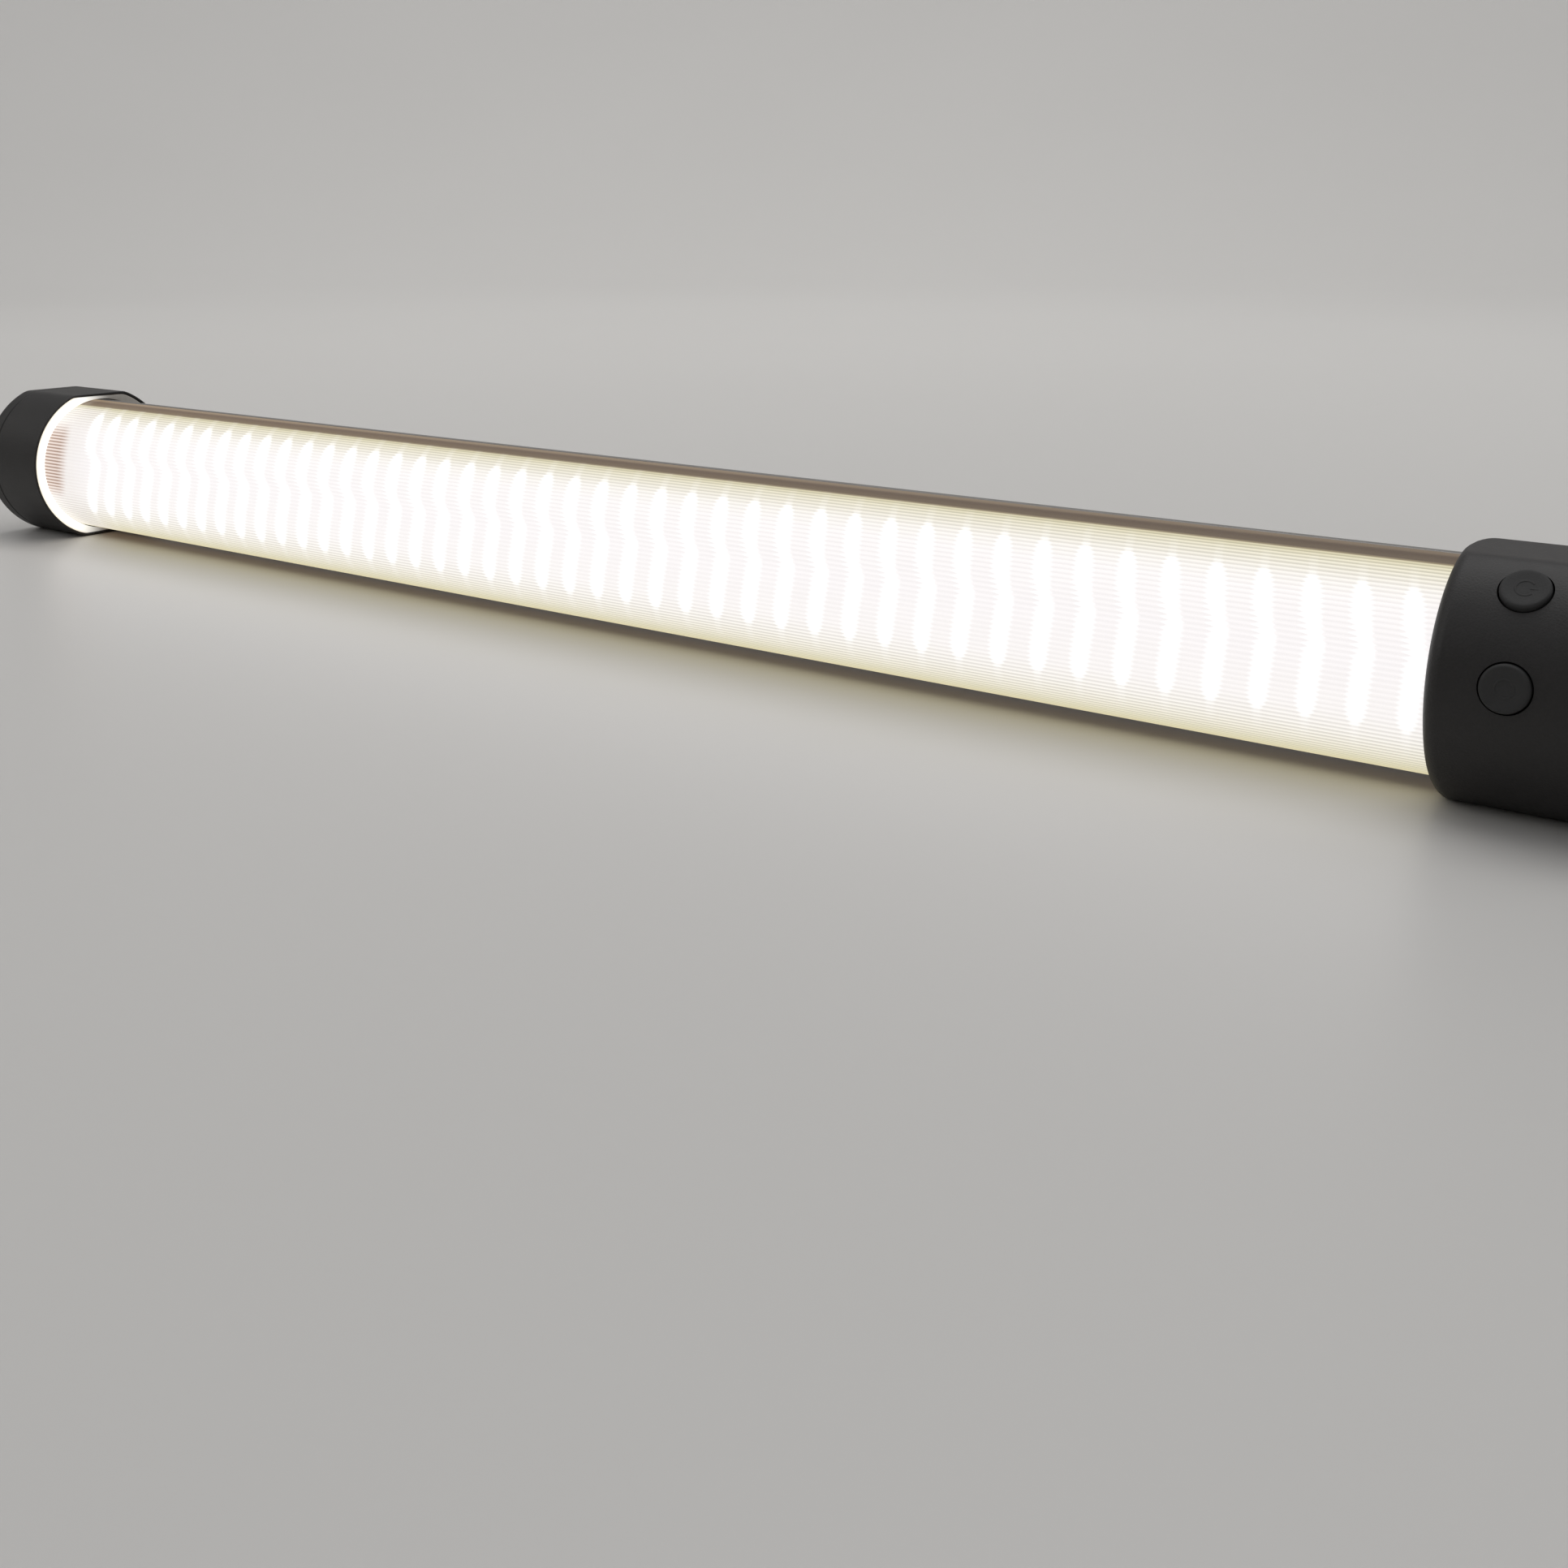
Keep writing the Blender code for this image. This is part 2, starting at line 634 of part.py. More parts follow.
def make_nickel_tab(index):
    x = FIRST_CELL_X + CELL_PITCH * index - GAP - TAB_THICKNESS
    low = (x, CELL_Y - TAB_HALF_WIDTH, -TAB_HALF_WIDTH)
    high = (x + TAB_THICKNESS, CELL_Y + TAB_HALF_WIDTH, TAB_HALF_WIDTH)
    return block(f"nickel_tab_{index + 1}", low, high, "nickel")


def make_end_pad(name, start):
    disc = circle(CELL_RADIUS, SMALL_CIRCLE_STEPS, (CELL_Y, 0.0))
    return prism(name, disc, start, start + END_PAD_THICKNESS, "foam")


def make_battery_leads():
    start = (PACK_END_X + GAP, CELL_Y)
    end = (DRIVER_START_X - GAP, DRIVER_Y + BOARD_THICKNESS / 2)
    make_wire_pair("battery_lead", start, end, 0.0)


# ---------------------------------------------------------------- driver electronics


def make_driver_board():
    low = (DRIVER_START_X, DRIVER_Y, -DRIVER_HALF_WIDTH)
    high = (DRIVER_END_X, DRIVER_TOP_Y, DRIVER_HALF_WIDTH)
    return block("driver_board", low, high, "green_board")


def make_driver_inductor():
    """A square shielded inductor with a round top, standing on the driver board."""
    bm = bmesh.new()
    body = square(INDUCTOR_HALF_WIDTH)
    core = circle(INDUCTOR_CORE_RADIUS, SQUARE_STEPS)
    stages = [(0.0, body), (INDUCTOR_BODY_HEIGHT, body)]
    stages += [(INDUCTOR_BODY_HEIGHT, core), (INDUCTOR_HEIGHT, core)]
    add_loft(bm, [along_z(height, section) for height, section in stages])
    foot = (DRIVER_START_X + INDUCTOR_OFFSET, DRIVER_TOP_Y + GAP, 0.0)
    return place("driver_inductor", bm, "ferrite", foot, math.radians(-90))


def make_driver_capacitor(name, z):
    """An electrolytic capacitor, lying down, with the crimp near its lead end."""
    radius = CAPACITOR_RADIUS
    start = DRIVER_START_X + CAPACITOR_OFFSET
    end = start + CAPACITOR_LENGTH
    centre = (DRIVER_TOP_Y + GAP + radius, z)
    full = circle(radius, SQUARE_STEPS, centre)
    waist = circle(radius - CRIMP_DEPTH, SQUARE_STEPS, centre)
    stages = [(start, full), (end - CRIMP_START, full), (end - CRIMP_WAIST, waist)]
    stages += [(end - CRIMP_END, full), (end, full)]
    return stepped_bar(name, stages, "capacitor_sleeve")


def make_driver_chip(name, offset, length, width):
    x = DRIVER_START_X + offset
    base = DRIVER_TOP_Y + GAP
    low = (x, base, -width / 2)
    high = (x + length, base + CHIP_THICKNESS, width / 2)
    return block(name, low, high, "chip_epoxy")


def make_driver_pad(name, start):
    low = (start, BOARD_BACK_Y + GAP, -DRIVER_PAD_WIDTH / 2)
    high = (start + DRIVER_PAD_LENGTH, DRIVER_Y - GAP, DRIVER_PAD_WIDTH / 2)
    return block(name, low, high, "foam")


def make_control_cable():
    bm = bmesh.new()
    thickness = CABLE_HALF_THICKNESS
    width = CABLE_HALF_WIDTH
    section = [(-thickness, -width), (thickness, -width), (thickness, width), (-thickness, width)]
    start = (DRIVER_END_X + GAP, DRIVER_Y + BOARD_THICKNESS / 2)
    end = (
        station_x(NEAR, CHARGE_BOARD_START_STATION) - GAP,
        CHARGE_BOARD_Y + BOARD_THICKNESS / 2,
    )
    add_sweep(bm, smooth_path(start, end, CABLE_STEPS), section, CABLE_Z)
    return place("control_cable", bm, "cable_grey")


# ---------------------------------------------------------------- end caps


def recessed_rim():
    """A square rim with a recess for the seal ring, walked from the bore outwards."""
    bore = circle(BORE_RADIUS, CIRCLE_STEPS)
    recess = flatted_circle(CAP_RADIUS - RIM_LIP, FLAT_DISTANCE - RIM_LIP)
    recess_depth = SEAL_THICKNESS + GAP
    return [
        (recess_depth, bore),
        (recess_depth, recess),
        (0.0, recess),
        (0.0, flatted_circle(CAP_RADIUS, FLAT_DISTANCE)),
    ]


def rounded_rim():
    """A rim turned to a quarter round, walked from the bore outwards."""
    stages = [(0.0, circle(BORE_RADIUS, CIRCLE_STEPS))]
    for i in range(FILLET_STEPS + 1):
        angle = math.radians(90.0 * i / FILLET_STEPS)
        radius = CAP_RADIUS - RIM_ROUNDING * (1.0 - math.sin(angle))
        station = RIM_ROUNDING * (1.0 - math.cos(angle))
        stages.append((station, flatted_circle(radius, FLAT_DISTANCE)))
    return stages


def cap_stages(length, rim):
    """Stages of a cap's shell: from the inner end wall out to the rim, round it and back."""
    stages = [(length - END_WALL, circle(BORE_RADIUS, CIRCLE_STEPS))]
    stages += rim
    for i in range(FILLET_STEPS + 1):
        angle = math.radians(90.0 * i / FILLET_STEPS)
        inset = END_FILLET * (1.0 - math.cos(angle))
        station = length - END_FILLET * (1.0 - math.sin(angle))
        stages.append((station, flatted_circle(CAP_RADIUS - inset, FLAT_DISTANCE - inset)))
    return stages


def cap_bar(name, end, stages, look="black_plastic"):
    return stepped_bar(name, [(station_x(end, station), section) for station, section in stages], look)


def add_screw_posts(cap, end, length):
    """Two posts inside a cap, each with a stepped screw hole that opens in the end face."""
    for label, side in (("upper", 1), ("lower", -1)):
        centre = (SCREW_Y, side * SCREW_Z)
        post = circle(POST_RADIUS, SMALL_CIRCLE_STEPS, centre)
        narrow = circle(SCREW_HOLE_RADIUS, SMALL_CIRCLE_STEPS, centre)
        wide = circle(COUNTERBORE_RADIUS, SMALL_CIRCLE_STEPS, centre)
        post_stages = [(SOCKET_DEPTH + GAP, post), (length - END_WALL / 2, post)]
        apply_boolean(cap, cap_bar(f"{cap.name}_{label}_post", end, post_stages), "UNION")
        hole_stages = [
            (SOCKET_DEPTH - OVERCUT, narrow),
            (SCREW_SEAT_STATION, narrow),
            (SCREW_SEAT_STATION, wide),
            (length + OVERCUT, wide),
        ]
        apply_boolean(cap, cap_bar(f"{cap.name}_{label}_hole", end, hole_stages), "DIFFERENCE")


def make_far_cap():
    length = FAR_CAP_LENGTH
    cap = cap_bar("far_cap", FAR, cap_stages(length, recessed_rim()))
    boss = circle(INSERT_BOSS_RADIUS)
    boss_stages = [(length - INSERT_BOSS_DEPTH, boss), (length - END_WALL / 2, boss)]
    apply_boolean(cap, cap_bar("insert_boss", FAR, boss_stages), "UNION")
    add_screw_posts(cap, FAR, length)
    pocket = circle(INSERT_RADIUS + GAP)
    pocket_stages = [(length - INSERT_LENGTH - GAP, pocket), (length + OVERCUT, pocket)]
    apply_boolean(cap, cap_bar("insert_pocket", FAR, pocket_stages), "DIFFERENCE")
    return cap


def make_control_cap():
    length = CONTROL_CAP_LENGTH
    cap = cap_bar("control_cap", NEAR, cap_stages(length, rounded_rim()))
    add_screw_posts(cap, NEAR, length)
    through_wall = (length - END_WALL - OVERCUT, length + OVERCUT)
    openings = {
        "charging_slot": slot(USB_HALF_WIDTH + GAP, USB_HALF_HEIGHT + GAP, USB_Y),
        "indicator_hole": circle(INDICATOR_RADIUS + GAP, SMALL_CIRCLE_STEPS, (USB_Y, INDICATOR_Z)),
    }
    for name, section in openings.items():
        tool = cap_bar(name, NEAR, [(station, section) for station in through_wall])
        apply_boolean(cap, tool, "DIFFERENCE")
    for name, degrees in (("power_hole", POWER_BUTTON_DEG), ("mode_hole", MODE_BUTTON_DEG)):
        hole = circle(BUTTON_RADIUS + BUTTON_CLEARANCE)
        rings = [along_z(BUTTON_FLANGE_BOTTOM, hole), along_z(BUTTON_TOP + OVERCUT, hole)]
        apply_boolean(cap, radial_piece(name, rings, degrees, "black_plastic"), "DIFFERENCE")
    return cap


def make_seal_ring():
    bm = bmesh.new()
    inside = circle(BORE_RADIUS, CIRCLE_STEPS)
    outside = flatted_circle(CAP_RADIUS - RIM_LIP - GAP, FLAT_DISTANCE - RIM_LIP - GAP)
    thick = SEAL_THICKNESS
    stages = [(0.0, inside), (0.0, outside), (thick, outside), (thick, inside)]
    rings = [along_x(station_x(FAR, station), section) for station, section in stages]
    add_loft(bm, rings, closed=True)
    return place("far_seal_ring", bm, "white_silicone")


def make_cap_screw(name, end, side):
    """A socket-head screw, from its seat in the cap into one of the housing's channels."""
    head = SCREW_SEAT_STATION + GAP
    top = head + HEAD_HEIGHT
    profile = [
        (SCREW_TIP_STATION, SCREW_TIP_RADIUS),
        (SCREW_TIP_STATION + SCREW_TIP_LENGTH, SCREW_RADIUS),
        (head, SCREW_RADIUS),
        (head, HEAD_RADIUS),
        (top - HEAD_BEVEL, HEAD_RADIUS),
        (top, HEAD_RADIUS - HEAD_BEVEL),
        (top, DRIVE_RADIUS),
        (top - DRIVE_DEPTH, DRIVE_RADIUS),
    ]
    centre = (SCREW_Y, side * SCREW_Z)
    stages = [(station, circle(radius, SCREW_STEPS, centre)) for station, radius in profile]
    return cap_bar(name, end, stages, "steel")


def make_tripod_insert():
    """A brass insert with a blind socket that opens in the far end face."""
    end = FAR_CAP_LENGTH
    body = circle(INSERT_RADIUS)
    neck = circle(INSERT_RADIUS - INSERT_NECK_INSET)
    bore = circle(INSERT_BORE_RADIUS)
    stages = [
        (end - INSERT_LENGTH, body),
        (end - INSERT_NECK_END, body),
        (end - INSERT_NECK_END + INSERT_NECK_SLOPE, neck),
        (end - INSERT_NECK_START - INSERT_NECK_SLOPE, neck),
        (end - INSERT_NECK_START, body),
        (end, body),
        (end, bore),
        (end - INSERT_BORE_DEPTH, bore),
    ]
    return cap_bar("tripod_insert", FAR, stages, "brass")


# ---------------------------------------------------------------- buttons and charging


def radial_piece(name, rings, degrees, look):
    """A piece drawn about its own Z, set so that Z points out of the control cap."""
    bm = bmesh.new()
    add_loft(bm, rings)
    origin = (station_x(NEAR, BUTTON_STATION), 0.0, 0.0)
    return place(name, bm, look, origin, math.radians(90.0 - degrees))


def make_button(name, degrees):
    profile = [
        (BUTTON_FLANGE_BOTTOM, BUTTON_FLANGE_RADIUS),
        (BUTTON_FLANGE_TOP, BUTTON_FLANGE_RADIUS),
        (BUTTON_FLANGE_TOP, BUTTON_RADIUS),
        (BUTTON_EDGE, BUTTON_RADIUS),
        (BUTTON_TOP - CROWN_SHOULDER_DROP, BUTTON_RADIUS - CROWN_SHOULDER_INSET),
        (BUTTON_TOP, BUTTON_RADIUS - CROWN_TOP_INSET),
    ]
    rings = [along_z(height, circle(radius)) for height, radius in profile]
    return radial_piece(name, rings, degrees, "black_rubber")


def make_switch(name, degrees):
    body = square(SWITCH_HALF_WIDTH)
    plunger = circle(SWITCH_PLUNGER_RADIUS, SQUARE_STEPS)
    rings = [
        along_z(SWITCH_BOTTOM, body),
        along_z(SWITCH_BODY_TOP, body),
        along_z(SWITCH_BODY_TOP, plunger),
        along_z(SWITCH_TOP, plunger),
    ]
    return radial_piece(name, rings, degrees, "grey_plastic")


def make_switch_carrier():
    """A bent rail with one facet square to each button."""

    def facet_end(height, degrees, along):
        angle = math.radians(degrees)
        y, z = facing_front(height, degrees)
        return (y + along * math.sin(angle), z + along * math.cos(angle))

    half = CARRIER_HALF_FACET
    top = CARRIER_TOP
    bottom = CARRIER_TOP - CARRIER_THICKNESS
    section = [
        facet_end(top, MODE_BUTTON_DEG, -half),
        facet_end(top, MODE_BUTTON_DEG, half),
        facet_end(top, POWER_BUTTON_DEG, -half),
        facet_end(top, POWER_BUTTON_DEG, half),
        facet_end(bottom, POWER_BUTTON_DEG, half),
        facet_end(bottom, POWER_BUTTON_DEG, -half),
        facet_end(bottom, MODE_BUTTON_DEG, half),
        facet_end(bottom, MODE_BUTTON_DEG, -half),
    ]
    start = station_x(NEAR, CARRIER_START_STATION)
    return prism("switch_carrier", section, start, station_x(NEAR, CAP_INSIDE_END_STATION), "grey_plastic")


def make_charge_board():
    low = (station_x(NEAR, CHARGE_BOARD_START_STATION), CHARGE_BOARD_Y, -CHARGE_BOARD_HALF_WIDTH)
    high = (
        station_x(NEAR, CAP_INSIDE_END_STATION),
        CHARGE_BOARD_Y + BOARD_THICKNESS,
        CHARGE_BOARD_HALF_WIDTH,
    )
    return block("charge_board", low, high, "green_board")


def make_usb_socket():
    mouth = USB_MOUTH_STATION
    back = mouth - USB_LENGTH
    outside = slot(USB_HALF_WIDTH, USB_HALF_HEIGHT, USB_Y)
    inside = slot(USB_HALF_WIDTH - USB_WALL, USB_HALF_HEIGHT - USB_WALL, USB_Y)
    stages = [(back, outside), (mouth, outside), (mouth, inside), (back + USB_WALL, inside)]
    return cap_bar("usb_c_socket", NEAR, stages, "steel")


def make_usb_tongue():
    half_x, half_y, half_z = TONGUE_HALF_SIZE
    start = station_x(NEAR, USB_MOUTH_STATION - USB_LENGTH + USB_WALL + GAP)
    low = (start, USB_Y - half_y, -half_z)
    high = (start + 2 * half_x, USB_Y + half_y, half_z)
    return block("usb_c_tongue", low, high, "chip_epoxy")


def make_charge_indicator():
    section = circle(INDICATOR_RADIUS, SQUARE_STEPS, (USB_Y, INDICATOR_Z))
    end = CONTROL_CAP_LENGTH - INDICATOR_RECESS
    stages = [(end - INDICATOR_LENGTH, section), (end, section)]
    return cap_bar("charge_indicator", NEAR, stages, "clear_plastic")


def main():
    clear_scene()
    make_axis()
    make_rear_housing()
    make_diffuser()
    make_led_board()
    make_led_row("led_row_upper", LED_ROW_Z)
    make_led_row("led_row_lower", -LED_ROW_Z)
    make_led_connector()
    make_led_leads()
    for index in range(CELL_COUNT):
        make_cell(index)
    make_cradle()
    for index in range(CELL_COUNT + 1):
        make_nickel_tab(index)
    make_end_pad("battery_pad_far", PACK_START_X)
    make_end_pad("battery_pad_near", PACK_END_X - END_PAD_THICKNESS)
    make_battery_leads()
    make_driver_board()
    make_driver_inductor()
    make_driver_capacitor("driver_capacitor_upper", CAPACITOR_Z)
    make_driver_capacitor("driver_capacitor_lower", -CAPACITOR_Z)
    for name, (offset, length, width) in DRIVER_CHIPS.items():
        make_driver_chip(name, offset, length, width)
    make_driver_pad("driver_pad_far", DRIVER_START_X + DRIVER_PAD_INSET)
    make_driver_pad("driver_pad_near", DRIVER_END_X - DRIVER_PAD_INSET - DRIVER_PAD_LENGTH)
    make_control_cable()
    make_far_cap()
    make_control_cap()
    make_seal_ring()
    for side, label in ((1, "upper"), (-1, "lower")):
        make_cap_screw(f"far_cap_screw_{label}", FAR, side)
        make_cap_screw(f"near_cap_screw_{label}", NEAR, side)
    make_tripod_insert()
    make_button("power_button", POWER_BUTTON_DEG)
    make_button("mode_button", MODE_BUTTON_DEG)
    make_switch("power_switch", POWER_BUTTON_DEG)
    make_switch("mode_switch", MODE_BUTTON_DEG)
    make_switch_carrier()
    make_charge_board()
    make_usb_socket()
    make_usb_tongue()
    make_charge_indicator()


main()
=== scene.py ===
"""Looks of the hand-held LED light tube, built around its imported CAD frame.

The tube lies along X with its diffuser facing -Y. Sections are drawn as (y, z) about the
tube's axis, and an angle is measured from straight ahead (-Y) towards the top (+Z).
A station is a distance from a cap's rim towards that cap's outer end.
"""

import json
import math

import bmesh
import bpy
from mathutils import Matrix, Vector


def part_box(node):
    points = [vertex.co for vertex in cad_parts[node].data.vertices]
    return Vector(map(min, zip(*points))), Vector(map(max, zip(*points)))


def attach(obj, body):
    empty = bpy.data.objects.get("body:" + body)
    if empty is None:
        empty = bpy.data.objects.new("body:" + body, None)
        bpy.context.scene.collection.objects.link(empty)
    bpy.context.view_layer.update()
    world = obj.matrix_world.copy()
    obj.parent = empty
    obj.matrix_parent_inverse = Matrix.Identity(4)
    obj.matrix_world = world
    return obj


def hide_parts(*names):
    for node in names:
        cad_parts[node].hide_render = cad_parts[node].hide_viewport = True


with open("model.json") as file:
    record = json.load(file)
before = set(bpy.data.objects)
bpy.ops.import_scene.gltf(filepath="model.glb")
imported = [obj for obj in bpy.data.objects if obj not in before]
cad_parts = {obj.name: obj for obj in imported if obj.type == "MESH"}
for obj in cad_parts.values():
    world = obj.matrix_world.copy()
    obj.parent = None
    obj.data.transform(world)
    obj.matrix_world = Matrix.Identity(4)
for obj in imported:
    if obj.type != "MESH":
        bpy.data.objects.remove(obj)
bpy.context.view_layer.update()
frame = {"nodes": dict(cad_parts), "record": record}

MM = 0.001
GAP = 0.3 * MM
NEAR = 1
FAR = -1

# Places and sizes read from the frame
TUBE_LOW, TUBE_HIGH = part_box("rear_housing")
FAR_LOW, FAR_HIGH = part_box("far_cap")
NEAR_LOW, NEAR_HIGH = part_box("control_cap")
AXIS_Z = (TUBE_LOW.z + TUBE_HIGH.z) / 2
TUBE_RADIUS = TUBE_HIGH.y
TUBE_SPAN = (TUBE_LOW.x, TUBE_HIGH.x)
CAP_RADIUS = FAR_HIGH.y
FLAT_DISTANCE = AXIS_Z - FAR_LOW.z
FAR_RIM_X = FAR_HIGH.x
NEAR_RIM_X = NEAR_LOW.x
WINDOW_LENGTH = NEAR_RIM_X - FAR_RIM_X
FAR_CAP_LENGTH = FAR_HIGH.x - FAR_LOW.x
CONTROL_CAP_LENGTH = NEAR_HIGH.x - NEAR_LOW.x

# Diffuser
RIB_COUNT = 51
RIBBED_HALF_DEG = 72.1
RIB_PITCH_DEG = 2 * RIBBED_HALF_DEG / RIB_COUNT
RIB_DEPTH = 0.2 * MM
RIB_STEPS = 6
DIFFUSER_WALL = 1.6 * MM
TONGUE_OUTER_Z = 20.7 * MM
TONGUE_INNER_Z = 19.7 * MM
TONGUE_REACH = 2.3 * MM
INNER_HALF_DEG = 82.0
INNER_STEPS = 80
LIP_STEPS = 24
SEAM_ROUNDING = 0.3 * MM
SEAM_STEPS = 4

# Rear housing
HOUSING_WALL = 2.0 * MM
SEAM_Y = GAP
COOLING_GROOVES = 7
GROOVE_SPACING_DEG = 9.0
GROOVE_HALF_DEG = 1.4
GROOVE_SHOULDER_DEG = 0.7
GROOVE_DEPTH = 0.6 * MM
HOUSING_STEPS = 450
SHELF_Y = 1.2 * MM
SHELF_Z = 15.9 * MM

# End caps
BORE_RADIUS = TUBE_RADIUS + GAP
SOCKET_DEPTH = 5.0 * MM
END_WALL = 3.0 * MM
END_FILLET = 3.0 * MM
RIM_LIP = 0.7 * MM
RIM_LIP_ROUNDING = 0.3 * MM
RIM_ROUNDING = 3.0 * MM
SMALL_EDGE = 0.1 * MM
ROUND_STEPS = 8
FLAT_SOFTNESS = 0.5 * MM
JOINT_LINE_STATION = 7.0 * MM
JOINT_LINE_HALF = 0.4 * MM
JOINT_LINE_DEPTH = 0.35 * MM
SEAL_THICKNESS = 1.5 * MM
SEAL_ROUNDING = 0.45 * MM
SCREW_PLACE = (9.0 * MM, 15.5 * MM)
SCREW_SEAT_STATION = 16.0 * MM
SCREW_HOLE_RADIUS = 1.7 * MM
COUNTERBORE_RADIUS = 3.3 * MM
POST_RADIUS = 4.8 * MM
CHAMFER = 0.35 * MM
OVERCUT = 1.0 * MM
BOSS_SHARE = 1.6
RING_STEPS = 180
SMALL_STEPS = 48

# Socket-head cap screws
SCREW_TIP_RADIUS = 0.8 * MM
SCREW_TIP_LENGTH = 0.7 * MM
SCREW_RADIUS = 1.3 * MM
HEAD_HEIGHT = 2.5 * MM
HEAD_BASE_EDGE = 0.15 * MM
HEAD_BEVEL = 0.5 * MM
DRIVE_RADIUS = 1.4 * MM
DRIVE_CHAMFER = 0.15 * MM
DRIVE_DEPTH = 1.5 * MM
DRIVE_TIP_DEPTH = 1.8 * MM
DRIVE_TIP_RADIUS = 0.5 * MM

# Tripod insert
THREAD_PITCH = 1.27 * MM
THREAD_CREST_RADIUS = 2.6 * MM
THREAD_ROOT_RADIUS = 3.2 * MM
THREAD_STEPS_A_TURN = 8
INSERT_BORE_DEPTH = 9.5 * MM
KNURL_DEPTH = 0.3 * MM
NECK_START = 5.0 * MM
NECK_END = 8.0 * MM
NECK_INSET = 0.6 * MM
NECK_SLOPE = 0.5 * MM

# Buttons; heights are distances from the tube's axis
BUTTON_DEG = {"power_button": 50.0, "mode_button": 8.0}
BUTTON_RADIUS = 4.5 * MM
BUTTON_CLEARANCE = 0.35 * MM
BUTTON_FLANGE_RADIUS = 5.5 * MM
BUTTON_FLANGE = (20.3 * MM, 21.3 * MM)
BUTTON_TOP = 26.8 * MM
BUTTON_ROUNDING = 0.6 * MM
BUTTON_DISH = 0.18 * MM
MARK_HEIGHT = 0.12 * MM
MARK_RADIUS = 1.7 * MM
MARK_HALF_WIDTH = 0.22 * MM
MARK_STEPS = 24
POWER_MARK_DEG = (40.0, 320.0)
BAR_START = 0.5 * MARK_RADIUS
BAR_END = 1.4 * MARK_RADIUS
BAR_EDGE = 0.05 * MARK_RADIUS

# Charging socket
USB_WALL = 0.3 * MM
USB_EDGE = 0.15 * MM
USB_MOUTH_ROLL = 0.12 * MM
CONTACT_COUNT = 12
CONTACT_PITCH = 0.5 * MM
CONTACT_HALF_WIDTH = 0.14 * MM
CONTACT_PROUD = 0.03 * MM
CONTACT_START = 3.4 * MM
CONTACT_END = 0.5 * MM
INDICATOR_DOME = 0.35 * MM

# The lit pattern that shows on the diffuser
BAND_COUNT = 45
BAND_PITCH = 9.59 * MM
LAST_BAND_INSET = 2.4 * MM
FIRST_BAND_X = NEAR_RIM_X - LAST_BAND_INSET - (BAND_COUNT - 1) * BAND_PITCH
JOIN_DEG = 20.0
JOIN_BLEND_DEG = 7.5
JOIN_REACH_DEG = (2.0, 12.0)
JOIN_COMB = 0.12
JOIN_WAIST = 0.12
BAND_CENTRE_DEG = 13.0
BAND_HALF_FAR_DEG = 49.0
BAND_HALF_NEAR_DEG = 38.0
BEND_SOFTNESS_DEG = 8.0
BAND_LIGHT = 1.12

# A band's half width, in band pitches, at the near and the far end, and how soft its edges are
BAND_HALF_WIDTH = (0.235, 0.34)
BAND_EDGE = (0.3, 1.2)
CORE_FADE = (0.84, 1.10)
TAIL_FADE = (0.95, 1.6)
TAIL_LIGHT = 0.12

# The far end past the last LEDs, and the ribs' shade where they are seen edge on
GREY_ZONE = (8.0 * MM, 30.0 * MM)
GREY_SHARE = 0.7
DASH_CENTRE_DEG = 11.0
DASH_LENGTH = 13.0 * MM
DASH_SHORTENING = 0.004 * MM
RIB_SHADE = (0.09, 0.36)
RIB_FACING_DEG = 14.0

# How each LED row's streak stands off its LEDs: where it turns, and at the near and the far end
# its shift along the tube and how fast it leans away from the turn, in metres a degree
UPPER_STREAK = {"turn_deg": 26.0, "shift": (-1.5 * MM, -5.8 * MM), "lean": (0.10 * MM, 0.20 * MM)}
LOWER_STREAK = {"turn_deg": 8.0, "shift": (-0.1 * MM, -0.1 * MM), "lean": (0.04 * MM, 0.24 * MM)}

# Camera: where it stands, the way it looks, and its lens
CAMERA_PLACE = (302.4 * MM, -340.2 * MM, 112.3 * MM)
CAMERA_AIM = (-0.5764, 0.7906, -0.2068)
CAMERA_LENS = 39.7
CAMERA_SENSOR = 36.0
CAMERA_SHIFT = -0.1377

SHARP_DEG = 32.0


# ---------------------------------------------------------------- shapes


def polar(radius, degrees, centre=(0.0, 0.0)):
    """A (y, z) point at an angle from straight ahead (-Y) towards the top."""
    angle = math.radians(degrees)
    return (centre[0] - radius * math.cos(angle), centre[1] + radius * math.sin(angle))


def circle(radius, steps=RING_STEPS, centre=(0.0, 0.0)):
    """A full turn of points, starting straight ahead."""
    return [polar(radius, 360.0 * i / steps, centre) for i in range(steps)]


def arc(radius, start_deg, end_deg, steps, centre=(0.0, 0.0)):
    """Points from start to end, both included."""
    span = end_deg - start_deg
    return [polar(radius, start_deg + span * i / steps, centre) for i in range(steps + 1)]


def quarter_round(radius, steps=ROUND_STEPS):
    """Pairs of offsets along a quarter round: the first grows from 0 as the second falls to 0."""
    angles = [math.radians(90.0 * i / steps) for i in range(steps + 1)]
    return [(radius * (1.0 - math.cos(a)), radius * (1.0 - math.sin(a))) for a in angles]


def softly_least(first, second, softness):
    """The lesser of two lengths, with the corner between them rounded."""
    near = max(softness - abs(first - second), 0.0) / softness
    return min(first, second) - near * near * softness / 4


def flatted_circle(radius, flat_distance):
    """A circle whose top and bottom are flat, with softened corners."""
    points = []
    for y, z in circle(radius):
        points.append((y, math.copysign(softly_least(abs(z), flat_distance, FLAT_SOFTNESS), z)))
    return points


def cap_outline(inset):
    """A cap's outline, drawn in by this much."""
    return flatted_circle(CAP_RADIUS - inset, FLAT_DISTANCE - inset)


